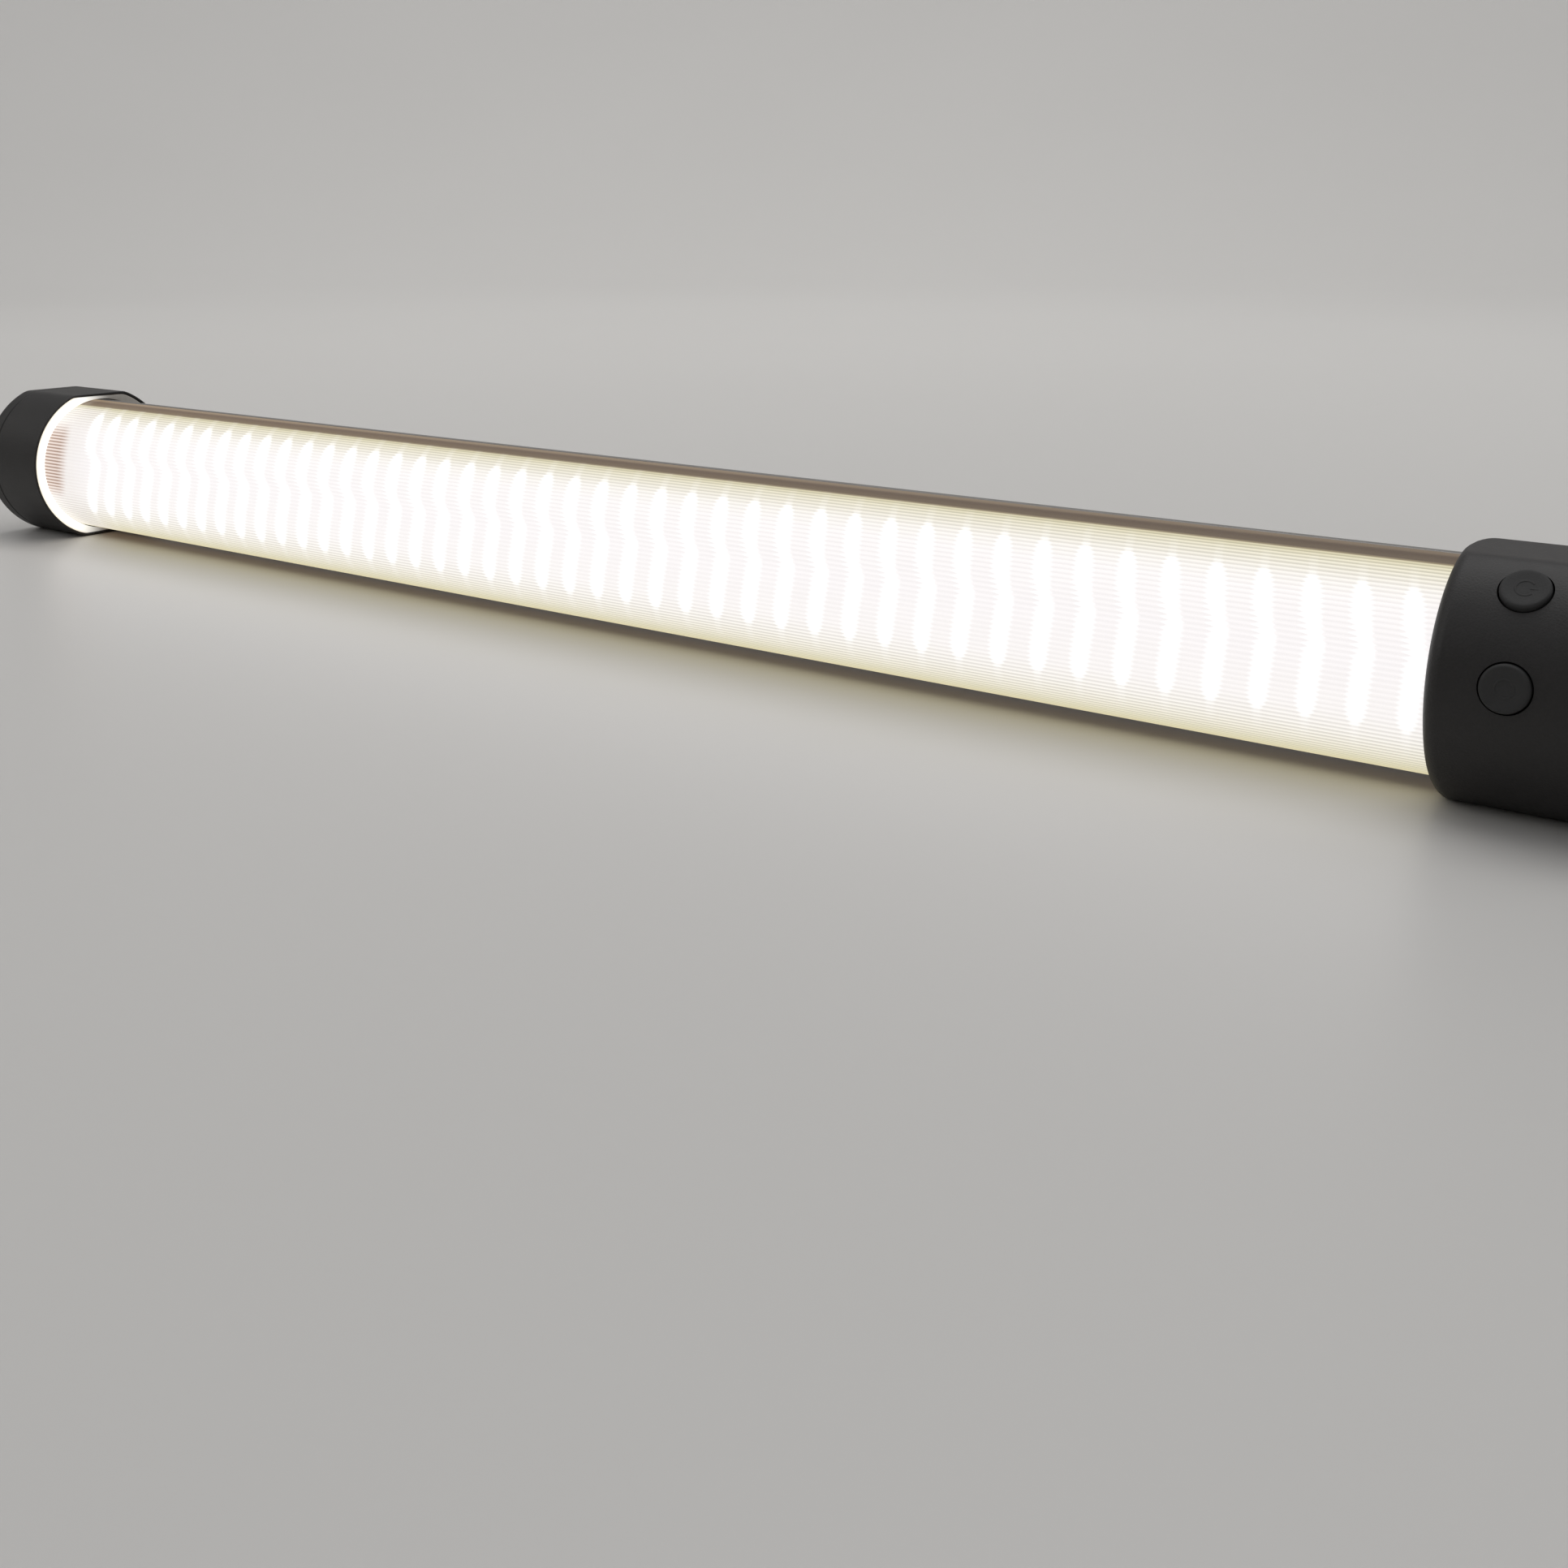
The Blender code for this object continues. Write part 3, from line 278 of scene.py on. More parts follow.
def slot(half_width, half_height, y_centre, steps=12):
    """A slot with round ends, long in z."""
    reach = half_width - half_height
    upper = arc(half_height, 0.0, 180.0, steps, (y_centre, reach))
    lower = arc(half_height, 180.0, 360.0, steps, (y_centre, -reach))
    return upper + lower


def along_x(x, section):
    """A (y, z) section about the tube's axis as 3D points at this x."""
    return [(x, y, AXIS_Z + z) for y, z in section]


def add_loft(bm, rings, closed=False):
    """Skins a list of rings of 3D points; open ends get a flat face."""
    loops = [[bm.verts.new(point) for point in ring] for ring in rings]
    pairs = list(zip(loops, loops[1:]))
    if closed:
        pairs.append((loops[-1], loops[0]))
    for first, second in pairs:
        count = len(first)
        for i in range(count):
            j = (i + 1) % count
            bm.faces.new((first[i], first[j], second[j], second[i]))
    if not closed:
        bm.faces.new(loops[0])
        bm.faces.new(loops[-1])


def smooth(mesh):
    """Smooth shading that breaks at sharp edges."""
    mesh.shade_smooth()
    mesh.set_sharp_from_angle(angle=math.radians(SHARP_DEG))


def new_piece(name, bm, weighted=True):
    """A named object made from a bmesh, with area-weighted normals."""
    bmesh.ops.recalc_face_normals(bm, faces=bm.faces)
    mesh = bpy.data.meshes.new(name)
    bm.to_mesh(mesh)
    bm.free()
    smooth(mesh)
    piece = bpy.data.objects.new(name, mesh)
    bpy.context.scene.collection.objects.link(piece)
    if weighted:
        piece.modifiers.new("face_weights", "WEIGHTED_NORMAL").keep_sharp = True
    return piece


def lofted(name, rings, closed=False, weighted=True):
    """A named piece skinned over these rings."""
    bm = bmesh.new()
    add_loft(bm, rings, closed)
    return new_piece(name, bm, weighted)


def cap_x(end, station):
    """The x of a station on the near or the far cap."""
    rim = NEAR_RIM_X if end == NEAR else FAR_RIM_X
    return rim + end * station


def cap_bar(name, end, stages, closed=False, weighted=True):
    """A piece on a cap, through the given (station, section) stages."""
    rings = [along_x(cap_x(end, station), section) for station, section in stages]
    return lofted(name, rings, closed, weighted)


def combined(target, tools):
    """Applies Booleans to target; tools are (object, operation) pairs, used up here."""
    target.modifiers.clear()
    for tool, operation in tools:
        tool.modifiers.clear()
        modifier = target.modifiers.new(tool.name, "BOOLEAN")
        modifier.operation = operation
        modifier.solver = "EXACT"
        modifier.object = tool
    graph = bpy.context.evaluated_depsgraph_get()
    result = bpy.data.meshes.new_from_object(target.evaluated_get(graph))
    target.modifiers.clear()
    target.data = result
    smooth(result)
    target.modifiers.new("face_weights", "WEIGHTED_NORMAL").keep_sharp = True
    for tool, _ in tools:
        bpy.data.objects.remove(tool)
    return target


def body_with(node):
    """The record's body that this CAD node belongs to."""
    bodies = frame["record"]["behaviour"]["bodies"]
    return next(body for body, members in bodies.items() if node in members)


def settle(piece, node, slot_name, *materials):
    """The piece stands for a CAD node: it rides on that node's body and takes these materials."""
    piece.data.materials.clear()
    for material in materials:
        piece.data.materials.append(material)
    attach(piece, body_with(node))
    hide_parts(node)
    return piece


# ---------------------------------------------------------------- materials


class Wiring:
    """A new material with short ways to add nodes and join them up."""

    def __init__(self, name):
        self.material = bpy.data.materials.new(name)
        self.material.use_nodes = True
        self.tree = self.material.node_tree
        self.shader = self.tree.nodes["Principled BSDF"]

    def feed(self, socket, value):
        """Links an output to the socket, or sets a constant on it."""
        if isinstance(value, bpy.types.NodeSocket):
            self.tree.links.new(value, socket)
        elif socket.type == "RGBA" and len(value) == 3:
            socket.default_value = (*value, 1.0)
        else:
            socket.default_value = value

    def finish(self, **values):
        """Sets shader inputs, named in small letters with underscores for spaces."""
        sockets = {socket.name.lower().replace(" ", "_"): socket for socket in self.shader.inputs}
        for name, value in values.items():
            self.feed(sockets[name], value)
        return self.material

    def place(self):
        """The point in the piece's own frame, which is the row frame at rest."""
        return self.tree.nodes.new("ShaderNodeTexCoord").outputs["Object"]

    def split(self, vector):
        node = self.tree.nodes.new("ShaderNodeSeparateXYZ")
        self.feed(node.inputs[0], vector)
        return node.outputs

    def math(self, operation, *values):
        node = self.tree.nodes.new("ShaderNodeMath")
        node.operation = operation
        for socket, value in zip(node.inputs, values):
            self.feed(socket, value)
        return node.outputs[0]

    def times(self, first, second):
        return self.math("MULTIPLY", first, second)

    def minus(self, first, second):
        return self.math("SUBTRACT", first, second)

    def times_plus(self, value, factor, offset):
        return self.math("MULTIPLY_ADD", value, factor, offset)

    def scaled(self, vector, scale):
        node = self.tree.nodes.new("ShaderNodeVectorMath")
        node.operation = "MULTIPLY"
        self.feed(node.inputs[0], vector)
        self.feed(node.inputs[1], scale)
        return node.outputs[0]

    def step(self, value, low, high):
        """Rises smoothly from 0 at low to 1 at high."""
        node = self.tree.nodes.new("ShaderNodeMapRange")
        node.interpolation_type = "SMOOTHSTEP"
        self.feed(node.inputs["Value"], value)
        self.feed(node.inputs["From Min"], low)
        self.feed(node.inputs["From Max"], high)
        return node.outputs["Result"]

    def fall(self, value, low, high):
        """Falls smoothly from 1 at low to 0 at high."""
        return self.math("SUBTRACT", 1.0, self.step(value, low, high))

    def distance(self, value, middle):
        """How far a value is from the middle, either way."""
        return self.math("ABSOLUTE", self.math("SUBTRACT", value, middle))

    def between(self, share, start, end):
        """A length or number that runs evenly from start to end as share goes from 0 to 1."""
        return self.math("MULTIPLY_ADD", share, end - start, start)

    def noise(self, vector, scale, detail=3.0, roughness=0.55):
        node = self.tree.nodes.new("ShaderNodeTexNoise")
        self.feed(node.inputs["Vector"], vector)
        node.inputs["Scale"].default_value = scale
        node.inputs["Detail"].default_value = detail
        node.inputs["Roughness"].default_value = roughness
        return node.outputs[0]

    def cells(self, vector, scale):
        node = self.tree.nodes.new("ShaderNodeTexVoronoi")
        self.feed(node.inputs["Vector"], vector)
        node.inputs["Scale"].default_value = scale
        return node.outputs["Distance"]

    def mix(self, share, first, second):
        """Runs from the first colour to the second as share goes from 0 to 1."""
        node = self.tree.nodes.new("ShaderNodeMix")
        node.data_type = "RGBA"
        sockets = {s.identifier: s for s in node.inputs}
        self.feed(sockets["Factor_Float"], share)
        self.feed(sockets["A_Color"], first)
        self.feed(sockets["B_Color"], second)
        return {s.identifier: s for s in node.outputs}["Result_Color"]

    def ramp(self, share, stops):
        """A colour ramp through (position, colour) stops."""
        node = self.tree.nodes.new("ShaderNodeValToRGB")
        self.feed(node.inputs[0], share)
        ramp = node.color_ramp
        while len(ramp.elements) < len(stops):
            ramp.elements.new(1.0)
        for element, (position, colour) in zip(ramp.elements, stops):
            element.position = position
            element.color = (*colour, 1.0)
        return node.outputs[0]

    def bump(self, height, distance, strength=1.0):
        node = self.tree.nodes.new("ShaderNodeBump")
        node.inputs["Strength"].default_value = strength
        node.inputs["Distance"].default_value = distance
        self.feed(node.inputs["Height"], height)
        return node.outputs[0]


def shown(red, green, blue):
    """A colour given as the 0 to 255 levels that a screen shows, as linear light."""
    def linear(level):
        share = level / 255.0
        return share / 12.92 if share <= 0.04045 else ((share + 0.055) / 1.055) ** 2.4
    return tuple(linear(level) for level in (red, green, blue))


def angle_about_axis(w, y, z):
    """Degrees from straight ahead towards the top."""
    height = w.minus(z, AXIS_Z)
    front = w.times(y, -1.0)
    return w.math("DEGREES", w.math("ARCTAN2", height, front))


# Light of the diffuser between the bands, from the bottom lip up to the top lip
LIGHT_ACROSS = (
    (-90.0, (96, 80, 62)),
    (-73.5, (112, 98, 78)),
    (-71.5, (208, 198, 162)),
    (-64.0, (210, 202, 166)),
    (-55.0, (214, 208, 181)),
    (-43.0, (227, 222, 207)),
    (-31.0, (236, 232, 226)),
    (-18.0, (242, 238, 237)),
    (10.0, (243, 239, 240)),
    (40.0, (242, 238, 238)),
    (50.0, (237, 233, 228)),
    (58.0, (224, 219, 205)),
    (65.0, (215, 209, 186)),
    (70.5, (196, 188, 154)),
    (72.5, (126, 112, 88)),
    (75.5, (92, 76, 54)),
)
# Light of the plain lips at their edge and in their middle, then a painted highlight along the seam
LIP_LIGHT = ((92, 76, 56), (78, 60, 42), (112, 94, 72))


def streak_shift(w, angle, far_share, streak):
    """How far along the tube a row's streak stands from its LEDs at this angle."""
    turn = w.minus(angle, streak["turn_deg"])
    squares = w.times_plus(turn, turn, BEND_SOFTNESS_DEG**2)
    bend = w.minus(w.math("SQRT", squares), BEND_SOFTNESS_DEG)
    lean = w.between(far_share, *streak["lean"])
    return w.minus(w.between(far_share, *streak["shift"]), w.times(lean, bend))


def lit_bands(w, x, angle, far_share, valley):
    """1 in the streak that each pair of LEDs draws round the tube, 0 between the streaks."""
    upper_share = w.step(angle, JOIN_DEG - JOIN_BLEND_DEG, JOIN_DEG + JOIN_BLEND_DEG)
    lower_shift = streak_shift(w, angle, far_share, LOWER_STREAK)
    upper_shift = streak_shift(w, angle, far_share, UPPER_STREAK)
    jump = w.minus(upper_shift, lower_shift)
    shift = w.times_plus(upper_share, jump, lower_shift)
    straight = w.minus(w.minus(x, shift), FIRST_BAND_X)
    count = w.math("DIVIDE", straight, BAND_PITCH)

    # The ribs comb the place where the two rows' streaks join
    join = w.fall(w.distance(angle, JOIN_DEG), *JOIN_REACH_DEG)
    comb = w.times(w.times(join, valley), JOIN_COMB)
    count = w.minus(count, comb)

    # A band narrows to rounded ends, at its waist and in the ribs' valleys
    half = w.between(far_share, BAND_HALF_NEAR_DEG, BAND_HALF_FAR_DEG)
    along = w.math("DIVIDE", w.minus(angle, BAND_CENTRE_DEG), half)
    reach = w.math("MINIMUM", w.math("ABSOLUTE", along), 1.0)
    rounding = w.times_plus(w.math("POWER", reach, 8.0), -0.5, 1.0)
    waist = w.times_plus(join, -JOIN_WAIST, 1.0)
    widest = w.between(far_share, *BAND_HALF_WIDTH)
    edge = w.times(w.times(widest, rounding), waist)
    edge = w.times(edge, w.times_plus(valley, -0.22, 1.1))
    offset = w.distance(count, w.math("ROUND", count))
    streak = w.fall(offset, *(w.times(edge, share) for share in BAND_EDGE))

    # Each end fades through a bright core and a faint tail, and the row stops at its last bands
    spread = w.math("ABSOLUTE", along)
    core = w.times(w.fall(spread, *CORE_FADE), 1.0 - TAIL_LIGHT)
    length = w.times_plus(w.fall(spread, *TAIL_FADE), TAIL_LIGHT, core)
    first = w.step(count, -0.6, -0.45)
    last = w.fall(count, BAND_COUNT - 0.55, BAND_COUNT - 0.4)
    row = w.times(first, last)
    return w.times(w.times(streak, length), row)


def rib_valley(w, angle):
    """1 in the valleys between the ribs, 0 on their crests and on the plain lips."""
    rib_phase = w.math("DIVIDE", w.math("ADD", angle, RIBBED_HALF_DEG), RIB_PITCH_DEG)
    wave = w.math("COSINE", w.times(rib_phase, math.tau))
    valley = w.times_plus(wave, 0.5, 0.5)
    ribbed = w.math("LESS_THAN", w.math("ABSOLUTE", angle), RIBBED_HALF_DEG)
    return w.times(valley, ribbed)


def with_far_end(w, light, x, angle, valley):
    """Past the last LEDs the light is greyer, and the ribs show as fine reddish dashes."""
    from_far = w.minus(x, FAR_RIM_X)
    inner = w.fall(w.math("ABSOLUTE", angle), 62.0, 72.0)
    end_zone = w.times(w.fall(from_far, *GREY_ZONE), inner)
    light = w.mix(w.times(end_zone, GREY_SHARE), light, shown(228, 222, 218))

    facing = w.distance(angle, DASH_CENTRE_DEG)
    middle = w.fall(facing, 20.0, 38.0)
    squares = w.times(facing, facing)
    dash_length = w.times_plus(squares, -DASH_SHORTENING, DASH_LENGTH)
    fades = w.fall(w.math("DIVIDE", from_far, dash_length), 0.45, 1.0)
    end_shade = w.times(fades, middle)
    light = w.mix(w.times(end_shade, 0.45), light, shown(206, 172, 152))
    dashes = w.times(end_shade, w.step(valley, 0.35, 0.85))
    return w.mix(w.times(dashes, 0.85), light, shown(138, 96, 74))


def with_rib_shade(w, light, place, angle, valley):
    """A rib's valley passes less light than its crest, most of all where it is seen edge on."""
    sideways_on = w.step(w.distance(angle, RIB_FACING_DEG), 26.0, 52.0)
    shade = w.between(sideways_on, *RIB_SHADE)
    cloudy = w.noise(w.scaled(place, (18.0, 60.0, 60.0)), 4.0)
    uneven = w.times_plus(w.minus(cloudy, 0.5), 0.05, 1.0)
    crest = w.times_plus(shade, 0.4, 1.0)
    ripple = w.minus(crest, w.times(valley, shade))
    return w.scaled(light, w.times(ripple, uneven))


def lip_light_and_painted_seam_highlight(w, away, far_share):
    """Light of the plain lips, with a painted highlight along the seam."""
    edge, middle, seam_highlight = (shown(*levels) for levels in LIP_LIGHT)
    light = w.mix(w.step(away, RIBBED_HALF_DEG + 2.0, 80.0), edge, middle)
    # Painted highlight: a lighter line along the seam
    light = w.mix(w.step(away, 81.0, 85.0), light, seam_highlight)
    brighter_far = w.between(far_share, 0.75, 1.45)
    return w.scaled(light, w.times(brighter_far, 1.0 / BAND_LIGHT))


def lit_diffuser():
    """Frosted, ribbed polycarbonate, lit from inside by two rows of LEDs."""
    w = Wiring("lit_diffuser")
    place = w.place()
    x, y, z = w.split(place)
    angle = angle_about_axis(w, y, z)
    from_near = w.minus(NEAR_RIM_X, x)
    far_share = w.math("DIVIDE", from_near, WINDOW_LENGTH)
    valley = rib_valley(w, angle)

    stops = [((degrees + 90.0) / 180.0, shown(*levels)) for degrees, levels in LIGHT_ACROSS]
    upright = w.times_plus(angle, 1.0 / 180.0, 0.5)
    between = w.ramp(upright, stops)
    between = with_far_end(w, between, x, angle, valley)
    between = with_rib_shade(w, between, place, angle, valley)

    bands = lit_bands(w, x, angle, far_share, valley)
    bands = w.times(bands, w.times_plus(valley, -0.12, 1.0))
    dimmed = w.scaled(between, (1.0 / BAND_LIGHT,) * 3)
    light = w.mix(bands, dimmed, (1.0, 1.0, 1.0))

    away = w.math("ABSOLUTE", angle)
    lips = w.step(away, RIBBED_HALF_DEG, RIBBED_HALF_DEG + 1.2)
    light = w.mix(lips, light, lip_light_and_painted_seam_highlight(w, away, far_share))
    skin = w.mix(lips, (0.13, 0.125, 0.115), (0.045, 0.036, 0.028))
    speckle = w.noise(place, 2600.0, 2.0)
    skin = w.mix(w.times(speckle, 0.05), skin, (0.9, 0.88, 0.82))
    return w.finish(
        base_color=skin,
        roughness=w.times_plus(speckle, 0.12, 0.34),
        specular_ior_level=0.28,
        emission_color=light,
        emission_strength=BAND_LIGHT,
        normal=w.bump(speckle, 0.02 * MM, 0.5),
    )


def glowing_silicone():
    """White silicone with painted light: a glow round its front half as if the tube lit it, a little
    dimmer at its outer edge, and a faint glow round the back.
    """
    w = Wiring("glowing_silicone")
    place = w.place()
    x, y, z = w.split(place)
    angle = angle_about_axis(w, y, z)
    # Painted light: the tube's light on the seal's front half, dimmer at the outer edge, with a faint
    # painted glow behind
    lit = w.fall(w.distance(angle, 6.0), 58.0, 96.0)
    upwards = w.minus(z, AXIS_Z)
    squares = w.times_plus(upwards, upwards, w.times(y, y))
    radius = w.math("SQRT", squares)
    rim = w.step(radius, CAP_RADIUS - 1.9 * MM, CAP_RADIUS - 0.9 * MM)
    painted_glow = w.mix(rim, shown(255, 253, 246), shown(236, 226, 208))
    painted_glow = w.mix(lit, shown(46, 40, 34), painted_glow)
    dust = w.noise(place, 900.0)
    return w.finish(
        base_color=w.mix(dust, (0.30, 0.29, 0.27), (0.40, 0.39, 0.36)),
        roughness=w.times_plus(dust, 0.15, 0.5),
        emission_color=painted_glow,
        emission_strength=1.25,
        normal=w.bump(dust, 0.03 * MM, 0.4),
    )


def cap_plastic():
    """Black moulded plastic with a fine spark-eroded grain."""
    w = Wiring("cap_plastic")
    place = w.place()
    grain = w.cells(place, 2400.0)
    fine = w.noise(place, 5200.0, 2.0)
    handled = w.noise(w.scaled(place, (1.0, 1.0, 1.6)), 55.0, 4.0)
    height = w.times_plus(fine, 0.5, grain)
    colour = w.mix(handled, (0.010, 0.0092, 0.0090), (0.017, 0.0155, 0.0150))
    return w.finish(
        base_color=w.mix(w.times(grain, 0.25), colour, (0.030, 0.028, 0.027)),
        roughness=w.times_plus(handled, 0.16, 0.42),
        specular_ior_level=0.42,
        normal=w.bump(height, 0.05 * MM, 0.55),
    )


def anodised_aluminium():
    """Extruded aluminium with die lines along the tube under a satin anodised film."""
    w = Wiring("anodised_aluminium")
    place = w.place()
    lines = w.noise(w.scaled(place, (0.012, 1.0, 1.0)), 2600.0, 3.0, 0.7)
    wide_lines = w.noise(w.scaled(place, (0.006, 1.0, 1.0)), 420.0, 2.0)
    clouds = w.noise(place, 30.0, 3.0)
    tone = w.mix(lines, (0.20, 0.19, 0.18), (0.27, 0.26, 0.25))
    tone = w.mix(w.times(wide_lines, 0.35), tone, (0.33, 0.32, 0.31))
    lined = w.times_plus(lines, 0.14, 0.30)
    return w.finish(
        base_color=tone,
        metallic=1.0,
        roughness=w.math("ADD", lined, w.times(clouds, 0.08)),
        anisotropic=0.35,
        normal=w.bump(lines, 0.015 * MM, 0.6),
    )


def moulded(name, colour, roughness, grain_size=0.6 * MM, grain=0.02 * MM, spread=0.12, **more):
    """A moulded or coated finish: clouded colour, uneven roughness and a fine grain."""
    w = Wiring(name)
    place = w.place()
    clouds = w.noise(place, 90.0, 3.0)
    fine = w.noise(place, 1.0 / grain_size, 2.0)
    dark = tuple(channel * (1.0 - spread) for channel in colour)
    light = tuple(min(1.0, channel * (1.0 + spread)) for channel in colour)
    return w.finish(
        base_color=w.mix(clouds, dark, light),
        roughness=w.times_plus(fine, 0.14, roughness - 0.07),
        normal=w.bump(fine, grain, 0.5),
        **more,
    )


def sleeve_film(name, colour, roughness, grain_size, spread):
    """Shrunk plastic film with a thin gloss."""
    return moulded(name, colour, roughness, grain_size, spread=spread, coat_weight=0.4)


def clear_plastic():
    """A light pipe's clear plastic, with hardly any grain."""
    tint = (0.80, 0.85, 0.87)
    return moulded("light_pipe", tint, 0.12, 1.0 * MM, 0.005 * MM, 0.03, transmission_weight=0.7)


def turned_metal(name, colour, roughness):
    """Metal with fine rings round the tube's direction, as a lathe leaves them, and faint stains."""
    w = Wiring(name)
    place = w.place()
    rings = w.noise(w.scaled(place, (1.0, 0.05, 0.05)), 5200.0, 2.0)
    stains = w.noise(place, 240.0, 4.0)
    dark = tuple(channel * 0.72 for channel in colour)
    return w.finish(
        base_color=w.mix(stains, dark, colour),
        metallic=1.0,
        roughness=w.times_plus(rings, 0.16, roughness - 0.08),
        normal=w.bump(rings, 0.01 * MM, 0.5),
    )


def circuit_board(name, mask, trace):
    """Solder mask over copper tracks, which show as slightly raised lighter lines."""
    w = Wiring(name)
    place = w.place()
    bricks = w.tree.nodes.new("ShaderNodeTexBrick")
    w.feed(bricks.inputs["Vector"], w.scaled(place, (320.0, 320.0, 620.0)))
    bricks.inputs["Mortar Size"].default_value = 0.07
    tracks = bricks.outputs["Fac"]
    weave = w.noise(place, 1500.0, 2.0)
    tone = w.mix(w.times(tracks, 0.8), mask, trace)
    return w.finish(
        base_color=w.mix(w.times(weave, 0.2), tone, trace),
        roughness=w.times_plus(weave, 0.15, 0.28),
        coat_weight=0.3,
        normal=w.bump(tracks, 0.035 * MM, 0.6),
    )


def phosphor():
    """The glowing yellow phosphor of the LED packages, slightly grainy."""
    w = Wiring("phosphor")
    place = w.place()
    grain = w.noise(place, 3000.0, 2.0)
    tone = w.mix(grain, (0.92, 0.70, 0.22), (1.0, 0.86, 0.42))
    return w.finish(
        base_color=tone,
        roughness=w.times_plus(grain, 0.2, 0.3),
        emission_color=w.mix(grain, (1.0, 0.90, 0.66), (1.0, 0.96, 0.82)),
        emission_strength=1.6,
        normal=w.bump(grain, 0.02 * MM, 0.5),
    )


def foam():
    """Closed-cell foam."""
    w = Wiring("foam")
    place = w.place()
    pores = w.cells(place, 1400.0)
    return w.finish(
        base_color=w.mix(pores, (0.03, 0.03, 0.032), (0.13, 0.13, 0.14)),
        roughness=w.times_plus(pores, 0.1, 0.85),
        normal=w.bump(pores, 0.15 * MM, 0.8),
    )


# ---------------------------------------------------------------- diffuser and housing


def ribbed_front():
    """The outer skin of the ribs, from the lower lip up to the upper lip."""
    points = []
    for i in range(RIB_COUNT * RIB_STEPS + 1):
        across = 2.0 * (i % RIB_STEPS) / RIB_STEPS - 1.0
        angle = -RIBBED_HALF_DEG + RIB_PITCH_DEG * i / RIB_STEPS
        points.append(polar(TUBE_RADIUS - RIB_DEPTH * across * across, angle))
    return points


def mirrored(points):
    """The same outline below the axis, walked the other way."""
    return [(y, -z) for y, z in reversed(points)]


def make_diffuser(material):
    """The ribbed cover with its plain lips, and a tongue along each edge."""
    seam_deg = 90.0 - math.degrees(SEAM_ROUNDING / TUBE_RADIUS)
    lip = arc(TUBE_RADIUS, RIBBED_HALF_DEG + 0.5, seam_deg, LIP_STEPS)
    corner = (-SEAM_ROUNDING, TUBE_RADIUS - SEAM_ROUNDING)
    lip += arc(SEAM_ROUNDING, 110.0, 180.0, SEAM_STEPS, corner)
    edge = [
        (0.0, TONGUE_OUTER_Z),
        (TONGUE_REACH, TONGUE_OUTER_Z),
        (TONGUE_REACH, TONGUE_INNER_Z),
        (-TONGUE_REACH, TONGUE_INNER_Z),
    ]
    inside = arc(TUBE_RADIUS - DIFFUSER_WALL, INNER_HALF_DEG, -INNER_HALF_DEG, INNER_STEPS)
    upper = lip + edge
    section = ribbed_front() + upper + inside + mirrored(upper)
    rings = [along_x(x, section) for x in TUBE_SPAN]
    settle(lofted("diffuser_skin", rings, weighted=False), "diffuser", "frosted_diffuser", material)


def groove_depth(angle):
    """How deep the cooling grooves cut in at this angle, with rounded shoulders."""
    from_back = (angle - 180.0) / GROOVE_SPACING_DEG
    nearest = round(from_back)
    if abs(nearest) > COOLING_GROOVES // 2:
        return 0.0
    away = abs(from_back - nearest) * GROOVE_SPACING_DEG
    share = (GROOVE_HALF_DEG + GROOVE_SHOULDER_DEG / 2 - away) / GROOVE_SHOULDER_DEG
    share = min(1.0, max(0.0, share))
    return GROOVE_DEPTH * share * share * (3.0 - 2.0 * share)


def make_housing(material):
    """The back half's skin with its cooling grooves, the wall inside it and the two shelves."""
    start = 90.0 + math.degrees((SEAM_Y + SEAM_ROUNDING) / TUBE_RADIUS)
    outer = []
    for i in range(HOUSING_STEPS + 1):
        angle = start + (360.0 - 2 * start) * i / HOUSING_STEPS
        outer.append(polar(TUBE_RADIUS - groove_depth(angle), angle))
    corner = (SEAM_Y + SEAM_ROUNDING, TUBE_RADIUS - SEAM_ROUNDING)
    upper_corner = arc(SEAM_ROUNDING, 0.0, 70.0, SEAM_STEPS, corner)
    wall = TUBE_RADIUS - HOUSING_WALL
    shelf = [
        (SHELF_Y, math.sqrt(wall**2 - SHELF_Y**2)),
        (SHELF_Y, SHELF_Z),
        (SEAM_Y, SHELF_Z),
        (SEAM_Y, TUBE_RADIUS - SEAM_ROUNDING),
    ]
    inside = arc(wall, 183.0, 100.0, 60)
    upper = inside + shelf + upper_corner[1:]
    section = outer + mirrored(upper) + upper
    rings = [along_x(x, section) for x in TUBE_SPAN]
    settle(lofted("housing_shell", rings, weighted=False), "rear_housing", "satin_aluminium", material)


# ---------------------------------------------------------------- end caps


def recessed_rim():
    """The far cap's rim, walked from the bore outwards, with the seal ring's recess."""
    bore = circle(BORE_RADIUS)
    recess = cap_outline(RIM_LIP)
    depth = SEAL_THICKNESS + GAP
    stages = [(depth, bore), (depth, recess), (SMALL_EDGE, recess), (0.0, cap_outline(0.6 * RIM_LIP))]
    stages += [(station, cap_outline(inset)) for station, inset in quarter_round(RIM_LIP_ROUNDING, 3)]
    return stages


def rounded_rim():
    """The control cap's rim: a quarter round that the flats cut into."""
    stages = [(0.0, circle(BORE_RADIUS))]
    for station, inset in quarter_round(RIM_ROUNDING):
        stages.append((station, flatted_circle(CAP_RADIUS - inset, FLAT_DISTANCE)))
    return stages


def cap_shell(name, end, length, rim):
    """A cap open towards the tube, with a joint line near its outer end and a rounded edge."""
    stages = [(length - END_WALL, circle(BORE_RADIUS))] + rim
    joint = length - JOINT_LINE_STATION
    for offset, depth in ((-JOINT_LINE_HALF, 0.0), (0.0, JOINT_LINE_DEPTH), (JOINT_LINE_HALF, 0.0)):
        stages.append((joint + offset, cap_outline(depth)))
    for inset, from_end in quarter_round(END_FILLET):
        stages.append((length - from_end, cap_outline(inset)))
    return cap_bar(name, end, stages)


